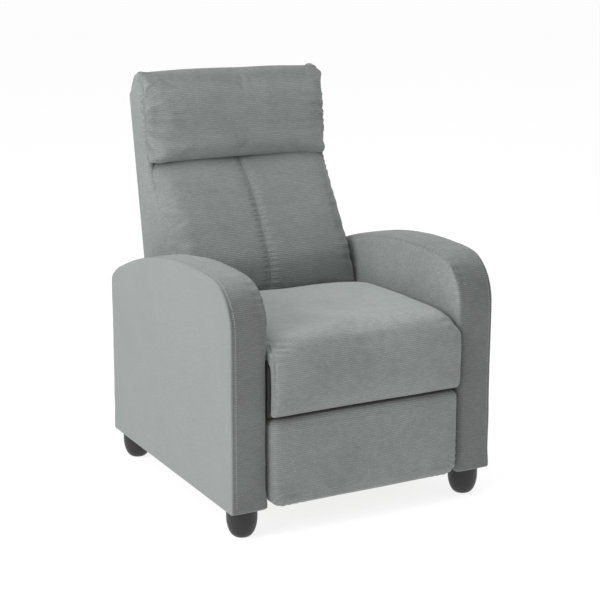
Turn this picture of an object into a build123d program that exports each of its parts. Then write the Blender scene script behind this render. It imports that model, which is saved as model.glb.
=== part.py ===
from build123d import *
import os
from math import atan2, cos, degrees, hypot, radians, sin, sqrt, tan

# Push-back recliner armchair: two upholstered arms on four feet carry a steel mechanism. The seat
# rides on four lift links; as it is pushed forward, a pair of folding linkages swings the footrest
# out from under the seat, and the back reclines on its own hinge at the rear of the seat.
# Millimetres. +Z up, the sitter faces -Y, so the sitter's left is +X. The origin is on the floor
# under the middle of the chair. Side profiles are drawn in the YZ plane as (y, z).

# ---- overall sizes ----
width = 690.0  # across the arms
depth = 830.0  # seat nose to the rear of the back
height = 988.0  # floor to the top of the headrest
seat_height = 480.0  # floor to the crown of the seat
ground_clearance = 68.0  # floor to the underside of the arms

# ---- arms ----
arm_thickness = 90.0
arm_height = 601.0
arm_rear_height = 487.0
arm_front_radius = 110.0
arm_rear_radius = 30.0
arm_crown_y_from_front = 197.0
cover_side = 6.0  # foam and fabric on the flat faces of an arm
cover_edge = 8.0  # foam and fabric round the edge of an arm
arm_panel = 12.0
arm_rail = 38.0
nose_overhang = 32.0  # seat nose in front of the arms
back_overhang = 92.0  # top of the back behind the arms

# ---- feet ----
foot_radius = 36.0
foot_tip_radius = 13.0
foot_straight = 20.0
foot_inset = 45.0
stud_radius = 4.0
stud_length = 30.0

# ---- steel mechanism ----
steel = 4.0
layer_pitch = 7.0  # spacing of the flat links, side by side across the chair
link_width = 22.0
pin_radius = 5.0
pin_head_radius = 8.0
pin_shoulder_radius = 6.5
pin_head = 1.8
pin_gap = 0.08  # radial running clearance of a pin in its hole
tube = 25.0
tube_wall = 2.0
lift_length = 95.0
lift_rest_angle = 25.0  # lift links lean this far back when the chair is closed
lift_travel = 50.0
swing_rest_angle = 22.0  # footrest links hang this far behind straight down
swing_travel = 90.0
back_travel = 40.0
parallel_gap = 55.0  # between the two footrest pivots on a side plate
bracket_pitch = 45.0  # between the two pivots on a footrest bracket

# ---- wooden seat frame and springs ----
frame_depth = 44.0
side_rail = 34.0
front_board = 18.0
seat_foam = 78.0
spring_wire = 1.9
spring_count = 5
spring_waves = 13
spring_half_wave = 24.0
side_gap = 3.0

# ---- footrest ----
footrest_board_thickness = 15.0
footrest_pad_depth = 42.0
footrest_wrap = 7.0
footrest_corner = 24.0  # radius of the lower corners of the footrest board
footrest_gap = 5.0  # footrest top to the seat's front edge

# ---- back ----
back_lean = 10.2
back_half_width_gap = 5.0
back_board = 22.0
back_skin = 6.0
rail_thickness = 20.0
headrest_height = 225.0
headrest_rise = 55.0  # headrest above the back frame
soft_gap = 1.0  # between a cushion and the wood behind it
belt_thickness = 2.5
belt_width = 50.0
belt_count = 5

bolt_radius = 4.0
bolt_head_radius = 7.0
bolt_head = 4.0

# ---- places worked out from the sizes ----
inner_face = width / 2 - arm_thickness
seat_half = inner_face - side_gap
nose_y = -depth / 2
arm_front_y = nose_y + nose_overhang
arm_rear_y = depth / 2 - back_overhang
back_rear_y = depth / 2
frame_top = seat_height - seat_foam - spring_wire * 2 + 2
frame_bottom = frame_top - frame_depth
apron_bottom = seat_height - 195
front_board_front = nose_y + 37
front_board_rear = front_board_front + front_board
seat_rear_y = back_rear_y - 322

SIDES = (("left", 1), ("right", -1))


def layer(number):
    """Inner and outer x of a flat link layer on the +X side; layer 0 lies against the arm."""
    outer = inner_face - number * layer_pitch
    return outer - steel, outer


def span(side, low, high):
    """Sketch plane and thickness for a slab from x = low to high, mirrored when side is -1."""
    return Plane.YZ.offset(low if side > 0 else -high), high - low


def turned(point, centre, angle):
    """A (y, z) point turned about centre; a positive angle lifts what lies in front of it."""
    y, z = point[0] - centre[0], point[1] - centre[1]
    c, s = cos(radians(angle)), sin(radians(angle))
    return centre[0] + y * c + z * s, centre[1] - y * s + z * c


def along(point, direction, distance):
    return point[0] + direction[0] * distance, point[1] + direction[1] * distance


def mix(a, b, share):
    return a[0] + (b[0] - a[0]) * share, a[1] + (b[1] - a[1]) * share


def strap_sketch(points, strap_width):
    """Adds a flat strap with round ends along the points to the open sketch."""
    for a, b in zip(points, points[1:]):
        run = hypot(b[0] - a[0], b[1] - a[1])
        with Locations(mix(a, b, 0.5)):
            SlotCenterToCenter(run, strap_width, rotation=degrees(atan2(b[1] - a[1], b[0] - a[0])))


def strap(side, number, points, holes, strap_width=link_width):
    """A flat steel link in one layer: holes is a list of (point, radius)."""
    plane, thickness = span(side, *layer(number))
    with BuildPart() as made:
        with BuildSketch(plane):
            strap_sketch(points, strap_width)
            for centre, radius in holes:
                with Locations(centre):
                    Circle(radius, mode=Mode.SUBTRACT)
        extrude(amount=thickness)
    return made.part


def pin(side, point, outer_layer, inner_layer, flush=False):
    """A rivet through two layers, with a shoulder between them and a head on each outer side."""
    far, near = layer(inner_layer)[0], layer(outer_layer)[1]
    gap = 0.2
    slices = [
        (far - gap, near if flush else near + gap, pin_radius),
        (far - gap - pin_head, far - gap, pin_head_radius),
        (layer(inner_layer)[1] + gap, layer(outer_layer)[0] - gap, pin_shoulder_radius),
    ]
    if not flush:
        slices.append((near + gap, near + gap + pin_head, pin_head_radius))
    with BuildPart() as made:
        for low, high, radius in slices:
            plane, thickness = span(side, low, high)
            with BuildSketch(plane):
                with Locations(point):
                    Circle(radius)
            extrude(amount=thickness)
    return made.part


def square_tube(centre, half_length, turn=0):
    """A square tube across the chair, centred on (y, z) and turned about its own axis."""
    with BuildPart() as made:
        with BuildSketch(Plane.YZ.offset(-half_length)):
            with Locations(centre):
                RectangleRounded(tube, tube, 3, rotation=turn)
                RectangleRounded(
                    tube - 2 * tube_wall,
                    tube - 2 * tube_wall,
                    1,
                    rotation=turn,
                    mode=Mode.SUBTRACT,
                )
        extrude(amount=2 * half_length)
    return made.part


def slab(side, low, high, points, radii=None):
    """A prism with the (y, z) outline, from x = low to high, with its listed corners rounded."""
    plane, thickness = span(side, low, high)
    with BuildPart() as made:
        with BuildSketch(plane) as face:
            with BuildLine():
                Polyline(*points, close=True)
            make_face()
            for index, radius in (radii or {}).items():
                fillet(face.vertices().sort_by_distance((*points[index], 0))[0], radius)
        extrude(amount=thickness)
    return made.part


def bolt(head_centre, direction, length, radius=bolt_radius, head_radius=bolt_head_radius):
    """A pan-head bolt: the head's underside is at head_centre and the shank runs along direction."""
    under = Plane(origin=head_centre, z_dir=direction)
    with BuildPart() as made:
        with BuildSketch(under):
            Circle(radius)
        extrude(amount=length)
        with BuildSketch(under):
            Circle(head_radius)
        extrude(amount=-bolt_head)
        fillet(made.faces().sort_by(Axis(head_centre, direction))[0].edges(), bolt_head * 0.4)
    return made.part


def group(parts):
    """Several solids kept apart in one node."""
    return Compound(children=list(parts))


nodes = {}

# ======== arms ========
arm_crown_y = arm_front_y + arm_crown_y_from_front
crown_run = arm_rear_y - arm_crown_y
crown_drop = arm_height - arm_rear_height
crown_radius = (crown_run**2 + crown_drop**2) / (2 * crown_drop)
crown_centre_z = arm_height - crown_radius


def arm_solid(side, low, high, inset, bottom, rear_radius):
    """An arm's side outline, inset all round: a long crown falling to the rear, extruded across."""
    front, rear = arm_front_y + inset, arm_rear_y - inset
    radius = arm_front_radius - inset
    long_radius = crown_radius - inset
    corner_y = front + radius
    reach = long_radius - radius
    corner_z = crown_centre_z + sqrt(reach**2 - (arm_crown_y - corner_y) ** 2)
    share = long_radius / reach
    touch = (
        arm_crown_y + (corner_y - arm_crown_y) * share,
        crown_centre_z + (corner_z - crown_centre_z) * share,
    )
    # The small front arc runs from straight forward round to where it meets the crown.
    turn = (180 + degrees(atan2(corner_z - crown_centre_z, corner_y - arm_crown_y))) / 2
    mid = (corner_y + radius * cos(radians(turn)), corner_z + radius * sin(radians(turn)))
    rear_z = crown_centre_z + sqrt(long_radius**2 - (rear - arm_crown_y) ** 2)
    plane, thickness = span(side, low, high)
    with BuildPart() as made:
        with BuildSketch(plane) as face:
            with BuildLine():
                Line((front, bottom), (front, corner_z))
                ThreePointArc((front, corner_z), mid, touch)
                ThreePointArc(touch, (arm_crown_y, arm_height - inset), (rear, rear_z))
                Line((rear, rear_z), (rear, bottom))
                Line((rear, bottom), (front, bottom))
            make_face()
            fillet(face.vertices().group_by(Axis.X)[-1].sort_by(Axis.Y)[-1], rear_radius)
        extrude(amount=thickness)
    return made.part


frame_inset = cover_edge
panel_inner_low = inner_face + cover_side
panel_outer_high = width / 2 - cover_side
rails_low = panel_inner_low + arm_panel
rails_high = panel_outer_high - arm_panel
rail_bottom = ground_clearance + 3
foot_x = inner_face + arm_thickness / 2
foot_ys = {"front": arm_front_y + foot_inset, "rear": arm_rear_y - foot_inset}

base_plate_bottom = ground_clearance + 27
base_plate_top = ground_clearance + 97
lift_base_z = ground_clearance + 67
hinge = (back_rear_y - 257, frame_bottom + 19)  # where the back turns on the side plates
rear_lift_base = (back_rear_y - 307, lift_base_z)
front_lift_base = (nose_y + 187, lift_base_z)
arm_bolt_ys = (
    front_lift_base[0] - 62,
    front_lift_base[0] + 62,
    rear_lift_base[0] - 62,
    rear_lift_base[0] + 48,
)
arm_bolt_z = base_plate_bottom + 22

for name, side in SIDES:
    # Foam and fabric cover, open underneath where the frame's rails close the arm.
    cover_blank = arm_solid(side, inner_face, width / 2, 0, ground_clearance, arm_rear_radius)
    cover_hollow = arm_solid(
        side,
        panel_inner_low,
        panel_outer_high,
        cover_edge,
        ground_clearance - 1,
        arm_rear_radius - cover_edge,
    )
    with BuildPart() as cover:
        add(cover_blank)
        fillet(
            cover.edges().filter_by(Plane.YZ).filter_by(lambda e: e.center().Z > ground_clearance + 1),
            cover_edge * 0.5,
        )
        add(cover_hollow, mode=Mode.SUBTRACT)
        for y in arm_bolt_ys:
            plane, thickness = span(side, inner_face - 1, panel_inner_low + 1)
            with BuildSketch(plane):
                with Locations((y, arm_bolt_z)):
                    Circle(bolt_radius + 0.3)
            extrude(amount=thickness, mode=Mode.SUBTRACT)
    nodes[f"arm_cover_{name}"] = cover.part

    for label, low, high in (
        ("inner", panel_inner_low, rails_low),
        ("outer", rails_high, panel_outer_high),
    ):
        panel_blank = arm_solid(side, low, high, frame_inset, rail_bottom, arm_rear_radius - cover_edge)
        with BuildPart() as panel:
            add(panel_blank)
            if label == "inner":
                plane, thickness = span(side, low, high)
                with BuildSketch(plane):
                    with Locations(*[(y, arm_bolt_z) for y in arm_bolt_ys]):
                        Circle(bolt_radius)
                extrude(amount=thickness, mode=Mode.SUBTRACT)
        nodes[f"arm_{label}_panel_{name}"] = panel.part

    # Posts, sill and crown strip between the two panels.
    rim_rear_radius = arm_rear_radius - cover_edge
    rim_blank = arm_solid(side, rails_low, rails_high, frame_inset, rail_bottom, rim_rear_radius)
    rim_hollow = arm_solid(side, rails_low, rails_high, frame_inset + arm_rail, rail_bottom + arm_rail, 4)
    with BuildPart() as rim:
        add(rim_blank)
        add(rim_hollow, mode=Mode.SUBTRACT)
        for y in foot_ys.values():
            with Locations((side * foot_x, y, rail_bottom)):
                Cylinder(stud_radius, 2 * stud_length, mode=Mode.SUBTRACT)
    nodes[f"arm_rails_{name}"] = rim.part

    for place, y in foot_ys.items():
        # Turned plastic foot: a straight collar above a rounded bowl with a small flat tip.
        with BuildPart() as foot:
            with BuildSketch(Plane.XZ):
                with BuildLine():
                    Line((0, 0), (foot_tip_radius, 0))
                    bowl_top = ground_clearance - foot_straight
                    EllipticalCenterArc(
                        (foot_tip_radius, bowl_top), foot_radius - foot_tip_radius, bowl_top, 270, arc_size=90
                    )
                    Line((foot_radius, bowl_top), (foot_radius, ground_clearance))
                    Line((foot_radius, ground_clearance), (0, ground_clearance))
                    Line((0, ground_clearance), (0, 0))
                make_face()
            revolve(axis=Axis.Z)
            with Locations((0, 0, ground_clearance)):
                Hole(stud_radius, stud_length)
        nodes[f"foot_{place}_{name}"] = foot.part.moved(Location((side * foot_x, y, 0)))

studs = []
for side in (1, -1):
    for y in foot_ys.values():
        with BuildPart() as stud:
            with Locations((side * foot_x, y, ground_clearance)):
                Cylinder(stud_radius, 2 * stud_length)
            chamfer(stud.edges(), 0.8)
        studs.append(stud.part)
nodes["foot_studs"] = group(studs)

# ======== base frame between the arms ========
base_plate_ends = (front_lift_base[0] - 92, rear_lift_base[0] + 150)
base_plate_length = base_plate_ends[1] - base_plate_ends[0]
middle_tube = (rear_lift_base[0] - 22, base_plate_bottom + 15)
rear_tube = (rear_lift_base[0] + 128, base_plate_bottom + 15)
for name, side in SIDES:
    low, high = layer(0)
    plane, thickness = span(side, low, high)
    with BuildPart() as plate:
        with BuildSketch(plane) as face:
            with Locations(mix((base_plate_ends[0], base_plate_bottom), (base_plate_ends[1], base_plate_top), 0.5)):
                RectangleRounded(base_plate_length, base_plate_top - base_plate_bottom, 14)
            with Locations(*[(y, arm_bolt_z) for y in arm_bolt_ys]):
                Circle(bolt_radius + 0.3, mode=Mode.SUBTRACT)
            with Locations(front_lift_base, rear_lift_base):
                Circle(pin_radius, mode=Mode.SUBTRACT)
            with Locations(mix(front_lift_base, rear_lift_base, 0.5)):
                SlotCenterToCenter(90, 22, mode=Mode.SUBTRACT)
        extrude(amount=thickness)
    nodes[f"base_plate_{name}"] = plate.part

nodes["base_cross_tubes"] = group([square_tube(c, layer(0)[0]) for c in (middle_tube, rear_tube)])
nodes["arm_bolts"] = group(
    bolt((side * layer(0)[0], y, arm_bolt_z), (side, 0, 0), layer(0)[1] - layer(0)[0] + cover_side + arm_panel)
    for side in (1, -1)
    for y in arm_bolt_ys
)

# ======== lift links that carry the seat ========
lean = (sin(radians(lift_rest_angle)), cos(radians(lift_rest_angle)))
front_lift_top = along(front_lift_base, lean, lift_length)
rear_lift_top = along(rear_lift_base, lean, lift_length)
for name, side in SIDES:
    for place, base, top in (
        ("front", front_lift_base, front_lift_top),
        ("rear", rear_lift_base, rear_lift_top),
    ):
        nodes[f"{place}_lift_link_{name}"] = strap(
            side,
            1,
            (base, top),
            [(base, pin_radius + pin_gap), (top, pin_radius + pin_gap)],
            link_width + 4,
        )
nodes["base_rivets"] = group(
    pin(side, point, 0, 1, flush=True) for side in (1, -1) for point in (front_lift_base, rear_lift_base)
)

# ======== footrest linkage geometry, folded ========
hang = (sin(radians(swing_rest_angle)), -cos(radians(swing_rest_angle)))
front_pivot = (nose_y + 307, frame_bottom - 26)
lowest_joint_z = ground_clearance + 20
swing_length = (front_pivot[1] - lowest_joint_z) / cos(radians(swing_rest_angle))
joint_low = along(front_pivot, hang, swing_length)
joint_high = along(front_pivot, hang, swing_length - bracket_pitch)
rear_slope = (cos(radians(4)), -sin(radians(4)))  # rearwards along the folded lower arm
rear_pivot = along(front_pivot, rear_slope, parallel_gap)
joint_rear = along(joint_low, rear_slope, parallel_gap)
footrest_front_y = nose_y + 17
footrest_top = apron_bottom - footrest_gap
footrest_bottom = ground_clearance + 2
board_front_y = footrest_front_y + footrest_pad_depth
board_rear_y = board_front_y + footrest_board_thickness
bracket_low = (board_rear_y + 37, footrest_bottom + 115)
bracket_high = along(bracket_low, (-hang[0], -hang[1]), bracket_pitch)
elbow_low = along(joint_low, (-rear_slope[0], -rear_slope[1]), 200)
elbow_high = along(joint_high, (-rear_slope[0], -rear_slope[1]), 200)

# ======== seat carriage ========
plate_low, plate_high = layer(2)
flange_reach = 30.0
plate_outline = [
    (front_board_rear + 8, frame_bottom),
    (front_board_rear + 8, frame_bottom - 34),
    (front_lift_top[0] - 22, front_lift_top[1] + 8),
    (front_lift_top[0] - 14, front_lift_top[1] - 17),
    (front_lift_top[0] + 18, front_lift_top[1] - 17),
    (front_lift_top[0] + 60, rear_pivot[1] - 42),
    (rear_lift_top[0] - 62, rear_pivot[1] - 42),
    (rear_lift_top[0] - 18, rear_lift_top[1] - 17),
    (rear_lift_top[0] + 14, rear_lift_top[1] - 17),
    (hinge[0] + 20, hinge[1] - 20),
    (hinge[0] + 20, hinge[1] + 20),
    (hinge[0] - 20, hinge[1] + 20),
    (hinge[0] - 20, frame_bottom),
]
plate_holes = [front_pivot, rear_pivot, front_lift_top, rear_lift_top, hinge]
rail_rear_front = seat_rear_y - front_board
frame_bolt_x = plate_low - 13
frame_bolt_ys = (front_board_rear + 110, (front_board_rear + seat_rear_y) / 2, rail_rear_front - 60)
frame_bolt_grip = 22.0
for name, side in SIDES:
    plate_radii = {1: 12, 3: 10, 4: 10, 7: 10, 8: 10, 9: 14, 10: 18, 11: 18}
    plate_blank = slab(side, plate_low, plate_high, plate_outline, plate_radii)
    with BuildPart() as plate:
        add(plate_blank)
        flange_plane, flange_thickness = span(side, plate_low - flange_reach, plate_low)
        with BuildSketch(flange_plane):
            with Locations(((plate_outline[0][0] + seat_rear_y) / 2, frame_bottom - steel / 2)):
                Rectangle(seat_rear_y - plate_outline[0][0], steel)
        extrude(amount=flange_thickness)
        hole_plane, hole_thickness = span(side, plate_low, plate_high)
        with BuildSketch(hole_plane):
            with Locations(*plate_holes):
                Circle(pin_radius)
        extrude(amount=hole_thickness, mode=Mode.SUBTRACT)
        for y in frame_bolt_ys:
            with Locations((side * frame_bolt_x, y, frame_bottom)):
                Cylinder(bolt_radius, 3 * steel, mode=Mode.SUBTRACT)
    nodes[f"side_plate_{name}"] = plate.part

tube_front = (front_board_rear + 60, frame_bottom - steel - tube / 2 - 0.5)
tube_rear = (seat_rear_y - 28, frame_bottom - steel - tube / 2 - 0.5)
nodes["carriage_tube_front"] = square_tube(tube_front, plate_low)
nodes["carriage_tube_rear"] = square_tube(tube_rear, plate_low)

front_board_outline = [
    (front_board_front, apron_bottom + 5),
    (front_board_rear, apron_bottom + 5),
    (front_board_rear, frame_top),
    (front_board_front, frame_top),
]
nodes["seat_front_board"] = slab(1, -seat_half + 2, seat_half - 2, front_board_outline, {2: 3, 3: 3})
rails = [
    slab(
        1,
        -seat_half + 2,
        seat_half - 2,
        [
            (rail_rear_front, frame_bottom),
            (seat_rear_y, frame_bottom),
            (seat_rear_y, frame_top),
            (rail_rear_front, frame_top),
        ],
        {2: 3, 3: 3},
    )
]
for side in (1, -1):
    side_outline = [
        (front_board_rear, frame_bottom),
        (rail_rear_front, frame_bottom),
        (rail_rear_front, frame_top),
        (front_board_rear, frame_top),
    ]
    side_rail_part_blank = slab(side, seat_half - 2 - side_rail, seat_half - 2, side_outline)
    with BuildPart() as side_rail_part:
        add(side_rail_part_blank)
        for y in frame_bolt_ys:
            with Locations((side * frame_bolt_x, y, frame_bottom)):
                Cylinder(bolt_radius, 2 * frame_bolt_grip, mode=Mode.SUBTRACT)
    rails.append(side_rail_part.part)
nodes["seat_frame_rails"] = group(rails)

# Zigzag springs lie across the frame from the front board to the rear rail, held in steel clips.
spring_z = frame_top + spring_wire
spring_start, spring_end = front_board_rear - 6, rail_rear_front + 6
half_pitch = (spring_end - spring_start) / spring_waves
spring_pitch = 2 * (seat_half - side_rail - 30) / (spring_count - 1)
spring_xs = [(i - (spring_count - 1) / 2) * spring_pitch for i in range(spring_count)]


end_shift = -9 if spring_waves % 2 else 9


def zigzag(x):
    """One sinuous spring: straight bars across, joined by half-turn bends, alternating sides."""
    bend = half_pitch / 2
    reach = spring_half_wave
    points = [(x - reach, spring_start)]
    for i in range(spring_waves + 1):
        y = spring_start + i * half_pitch
        hand = 1 if i % 2 == 0 else -1
        points.append((x + hand * reach, y))
        if i < spring_waves:
            points.append((x + hand * reach, y + half_pitch))
    with BuildPart() as made:
        with BuildLine(Plane.XY.offset(spring_z)) as path:
            FilletPolyline(*points, radius=bend * 0.98)
        with BuildSketch(Plane(origin=path.line @ 0, z_dir=path.line % 0)):
            Circle(spring_wire)
        sweep()
    return made.part


def clip(x, y):
    """Folded steel strap over the end bar of a spring, screwed to the frame."""
    with BuildPart() as made:
        outer = spring_wire + 1.6
        with BuildSketch(Plane.YZ.offset(x - 8)):
            with Locations((y, spring_z)):
                Circle(outer)
                Circle(spring_wire + 0.15, mode=Mode.SUBTRACT)
            with Locations((y, spring_z - outer)):
                Rectangle(4 * outer, 2 * outer, mode=Mode.SUBTRACT)
        extrude(amount=16)
    return made.part


nodes["seat_springs"] = group(zigzag(x) for x in spring_xs)
nodes["spring_clips"] = group(
    clip(x + shift, y) for x in spring_xs for y, shift in ((spring_start, -9), (spring_end, end_shift))
)

# Seat cushion: top foam that rolls over the nose and hangs down in front of the front board.
seat_under = frame_top + 2 * (spring_wire + 1.6)
seat_outline = [
    (front_board_front - soft_gap, apron_bottom),
    (front_board_front - soft_gap, seat_under),
    (seat_rear_y + 2, seat_under),
    (seat_rear_y + 2, seat_height - 26),
    (seat_rear_y - 70, seat_height - 10),
    (nose_y + 160, seat_height),
    (nose_y + 60, seat_height - 2),
    (nose_y + 10, seat_height - 38),
    (nose_y, seat_height - 90),
    (nose_y + 16, apron_bottom),
]
nodes["seat_cushion"] = slab(
    1, -seat_half, seat_half, seat_outline, {3: 18, 4: 60, 5: 80, 6: 60, 7: 60, 8: 60, 9: 8, 0: 4}
)

nodes["seat_frame_bolts"] = group(
    bolt((side * frame_bolt_x, y, frame_bottom - steel), (0, 0, 1), steel + frame_bolt_grip)
    for side in (1, -1)
    for y in frame_bolt_ys
)
nodes["carriage_rivets"] = group(
    [pin(side, p, 1, 2) for side in (1, -1) for p in (front_lift_top, rear_lift_top)]
    + [pin(side, p, 2, 3) for side in (1, -1) for p in (front_pivot, rear_pivot, hinge)]
)

# ======== footrest linkage ========
run_hole = pin_radius + pin_gap
drive_tube = along(front_pivot, hang, 62)
for name, side in SIDES:
    nodes[f"footrest_front_link_{name}"] = strap(
        side,
        3,
        (front_pivot, joint_low),
        [(front_pivot, run_hole), (joint_low, pin_radius), (joint_high, pin_radius)],
    )
    nodes[f"footrest_rear_link_{name}"] = strap(
        side, 3, (rear_pivot, joint_rear), [(rear_pivot, run_hole), (joint_rear, pin_radius)]
    )
    nodes[f"footrest_lower_arm_{name}"] = strap(
        side,
        4,
        (joint_rear, joint_low, elbow_low, bracket_low),
        [(joint_rear, run_hole), (joint_low, run_hole), (bracket_low, run_hole)],
    )
    nodes[f"footrest_upper_arm_{name}"] = strap(
        side,
        5,
        (joint_high, elbow_high, bracket_high),
        [(joint_high, run_hole), (bracket_high, run_hole)],
    )
nodes["footrest_drive_tube"] = square_tube(drive_tube, layer(3)[0], swing_rest_angle)
nodes["front_link_rivets"] = group(
    pin(side, p, 3, inner) for side in (1, -1) for p, inner in ((joint_low, 4), (joint_high, 5))
)
nodes["rear_link_rivets"] = group(pin(side, joint_rear, 3, 4) for side in (1, -1))

# ======== footrest ========
board_outline = [
    (board_front_y, footrest_bottom + footrest_wrap),
    (board_rear_y, footrest_bottom + footrest_wrap),
    (board_rear_y, footrest_top - footrest_wrap),
    (board_front_y, footrest_top - footrest_wrap),
]
footrest_bolt_zs = (footrest_bottom + 85, footrest_bottom + 185)
bracket_flange = 30.0
footrest_bolt_x = layer(3)[0] - bracket_flange / 2
footrest_bolt_places = [(side * footrest_bolt_x, board_rear_y, z) for side in (1, -1) for z in footrest_bolt_zs]
board_blank = slab(1, -seat_half + footrest_wrap, seat_half - footrest_wrap, board_outline)
with BuildPart() as board:
    add(board_blank)
    with Locations(*footrest_bolt_places):
        Cylinder(bolt_radius, 20, rotation=(90, 0, 0), mode=Mode.SUBTRACT)
    fillet(board.edges().filter_by(Axis.Y).filter_by(GeomType.LINE).group_by(Axis.Z)[0], footrest_corner)
nodes["footrest_board"] = board.part

pad_outline = [
    (footrest_front_y, footrest_bottom),
    (board_rear_y, footrest_bottom),
    (board_rear_y, footrest_top),
    (footrest_front_y, footrest_top),
]
pad_blank = slab(1, -seat_half, seat_half, pad_outline, {0: 22, 3: 18})
with BuildPart() as pad:
    add(pad_blank)
    half = seat_half - footrest_wrap + 0.3
    with Locations(
        ((0, (board_front_y + board_rear_y) / 2 + 10, (footrest_bottom + footrest_top) / 2))
    ):
        Box(
            2 * half,
            footrest_board_thickness + 20.6,
            footrest_top - footrest_bottom - 2 * footrest_wrap + 0.6,
            mode=Mode.SUBTRACT,
        )
nodes["footrest_pad"] = pad.part

for name, side in SIDES:
    low, high = layer(3)
    with BuildPart() as bracket:
        plane, thickness = span(side, low, high)
        with BuildSketch(plane):
            strap_sketch((bracket_low, bracket_high), link_width)
            with BuildLine():
                Polyline(
                    (board_rear_y, footrest_bolt_zs[0] - 20),
                    (board_rear_y + 12, footrest_bolt_zs[0] - 20),
                    (bracket_low[0] + 8, bracket_low[1] - 8),
                    (bracket_high[0] + 8, bracket_high[1] + 6),
                    (board_rear_y + 12, footrest_bolt_zs[1] + 8),
                    (board_rear_y, footrest_bolt_zs[1] + 8),
                    close=True,
                )
            make_face()
            with Locations(bracket_low, bracket_high):
                Circle(pin_radius, mode=Mode.SUBTRACT)
        extrude(amount=thickness)
        foot_plane, foot_thickness = span(side, low - bracket_flange, low)
        with BuildSketch(foot_plane):
            with Locations((board_rear_y + steel / 2, (footrest_bolt_zs[0] + footrest_bolt_zs[1]) / 2 - 6)):
                Rectangle(steel, footrest_bolt_zs[1] - footrest_bolt_zs[0] + 28)
        extrude(amount=foot_thickness)
        with Locations(*[(side * footrest_bolt_x, board_rear_y, z) for z in footrest_bolt_zs]):
            Cylinder(bolt_radius, 3 * steel, rotation=(90, 0, 0), mode=Mode.SUBTRACT)
    nodes[f"footrest_bracket_{name}"] = bracket.part

nodes["footrest_rivets"] = group(
    pin(side, p, 3, inner) for side in (1, -1) for p, inner in ((bracket_low, 4), (bracket_high, 5))
)
nodes["footrest_bolts"] = group(
    bolt((side * footrest_bolt_x, board_rear_y + steel, z), (0, -1, 0), steel + 10)
    for side in (1, -1)
    for z in footrest_bolt_zs
)

# ======== back ========
back_half = inner_face - back_half_width_gap
rear_dir = (sin(radians(back_lean)), cos(radians(back_lean)))
back_top_z = height - headrest_rise
lip_z = height - headrest_height
skirt_z = frame_bottom + 40  # lowest edge of the back's side walls
tail_z = ground_clearance + 130


def rear_line(z, inset=0.0):
    """y of the back's rear face at height z, inset forwards."""
    return back_rear_y - 1 - inset - (back_top_z - z) * tan(radians(back_lean))


# Front edge of the wooden side boards, from the top down to the hinge brackets.
edge_top = (rear_line(back_top_z) - 46, back_top_z)
edge_brow = (rear_line(lip_z) - 68, lip_z)
edge_lumbar = (back_rear_y - 205, seat_height + 74)
edge_foot = (back_rear_y - 235, seat_height - 40)


def edge_y(z):
    """y of the side boards' front edge at height z."""
    corners = (edge_foot, edge_lumbar, edge_brow, edge_top)
    low, high = next(((a, b) for a, b in zip(corners, corners[1:]) if z <= b[1]), corners[-2:])
    return low[0] + (high[0] - low[0]) * (z - low[1]) / (high[1] - low[1])


board_low = layer(3)[0] - back_board
board_high = layer(3)[0]
board_top_z = back_top_z - back_skin - 1
board_points = [
    (rear_line(board_top_z, back_skin) - 1, board_top_z),
    (edge_y(board_top_z), board_top_z),
    edge_brow,
    edge_lumbar,
    edge_foot,
    (hinge[0] + 34, skirt_z - 12),
    (hinge[0] + 50, hinge[1] - 40),
    (rear_line(tail_z, back_skin) - 30, tail_z + 8),
    (rear_line(tail_z, back_skin) - 1, tail_z + 8),
]
bracket_bolts = (
    (hinge[0] + 84, seat_height - 12),
    (hinge[0] + 74, hinge[1] + 44),
    (hinge[0] + 70, hinge[1] - 12),
)
left_board_blank = slab(1, board_low, board_high, board_points, {5: 12, 6: 20})
with BuildPart() as left_board:
    add(left_board_blank)
    with BuildSketch(Plane.YZ.offset(board_low)):
        with Locations(*bracket_bolts):
            Circle(bolt_radius)
    extrude(amount=back_board, mode=Mode.SUBTRACT)
side_boards = [left_board.part, left_board.part.mirror(Plane.YZ)]
nodes["back_side_boards"] = group(side_boards)


def back_rail(z, rail_height):
    """A flat rail between the side boards, lying along the rear of the back."""
    low_z, high_z = z - rail_height / 2, z + rail_height / 2
    return slab(
        1,
        -board_low,
        board_low,
        [
            (rear_line(low_z, back_skin + 1 + rail_thickness), low_z),
            (rear_line(low_z, back_skin + 1), low_z),
            (rear_line(high_z, back_skin + 1), high_z),
            (rear_line(high_z, back_skin + 1 + rail_thickness), high_z),
        ],
    )


rail_zs = (back_top_z - 40, lip_z - 60, seat_height + 20, tail_z + 34)
nodes["back_rails"] = group(back_rail(z, 50) for z in rail_zs)

# Elastic belts stretched between the front edges of the side boards carry the back cushion.
belts = []
belt_low, belt_high = seat_height + 55, lip_z - 45
for i in range(belt_count):
    z = belt_low + (belt_high - belt_low) * i / (belt_count - 1)
    slope = (edge_y(z + 5) - edge_y(z - 5)) / 10
    run = hypot(1, slope)
    up = (slope / run, 1 / run)
    out = (1 / run, -slope / run)
    inner = along((edge_y(z), z), out, 12)
    corners = [
        along(inner, up, -belt_width * 0.36),
        along(inner, up, belt_width * 0.36),
    ]
    corners += [along(corners[1], out, belt_thickness), along(corners[0], out, belt_thickness)]
    belts.append(slab(1, -board_low, board_low, corners))
nodes["back_webbing"] = group(belts)

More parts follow.
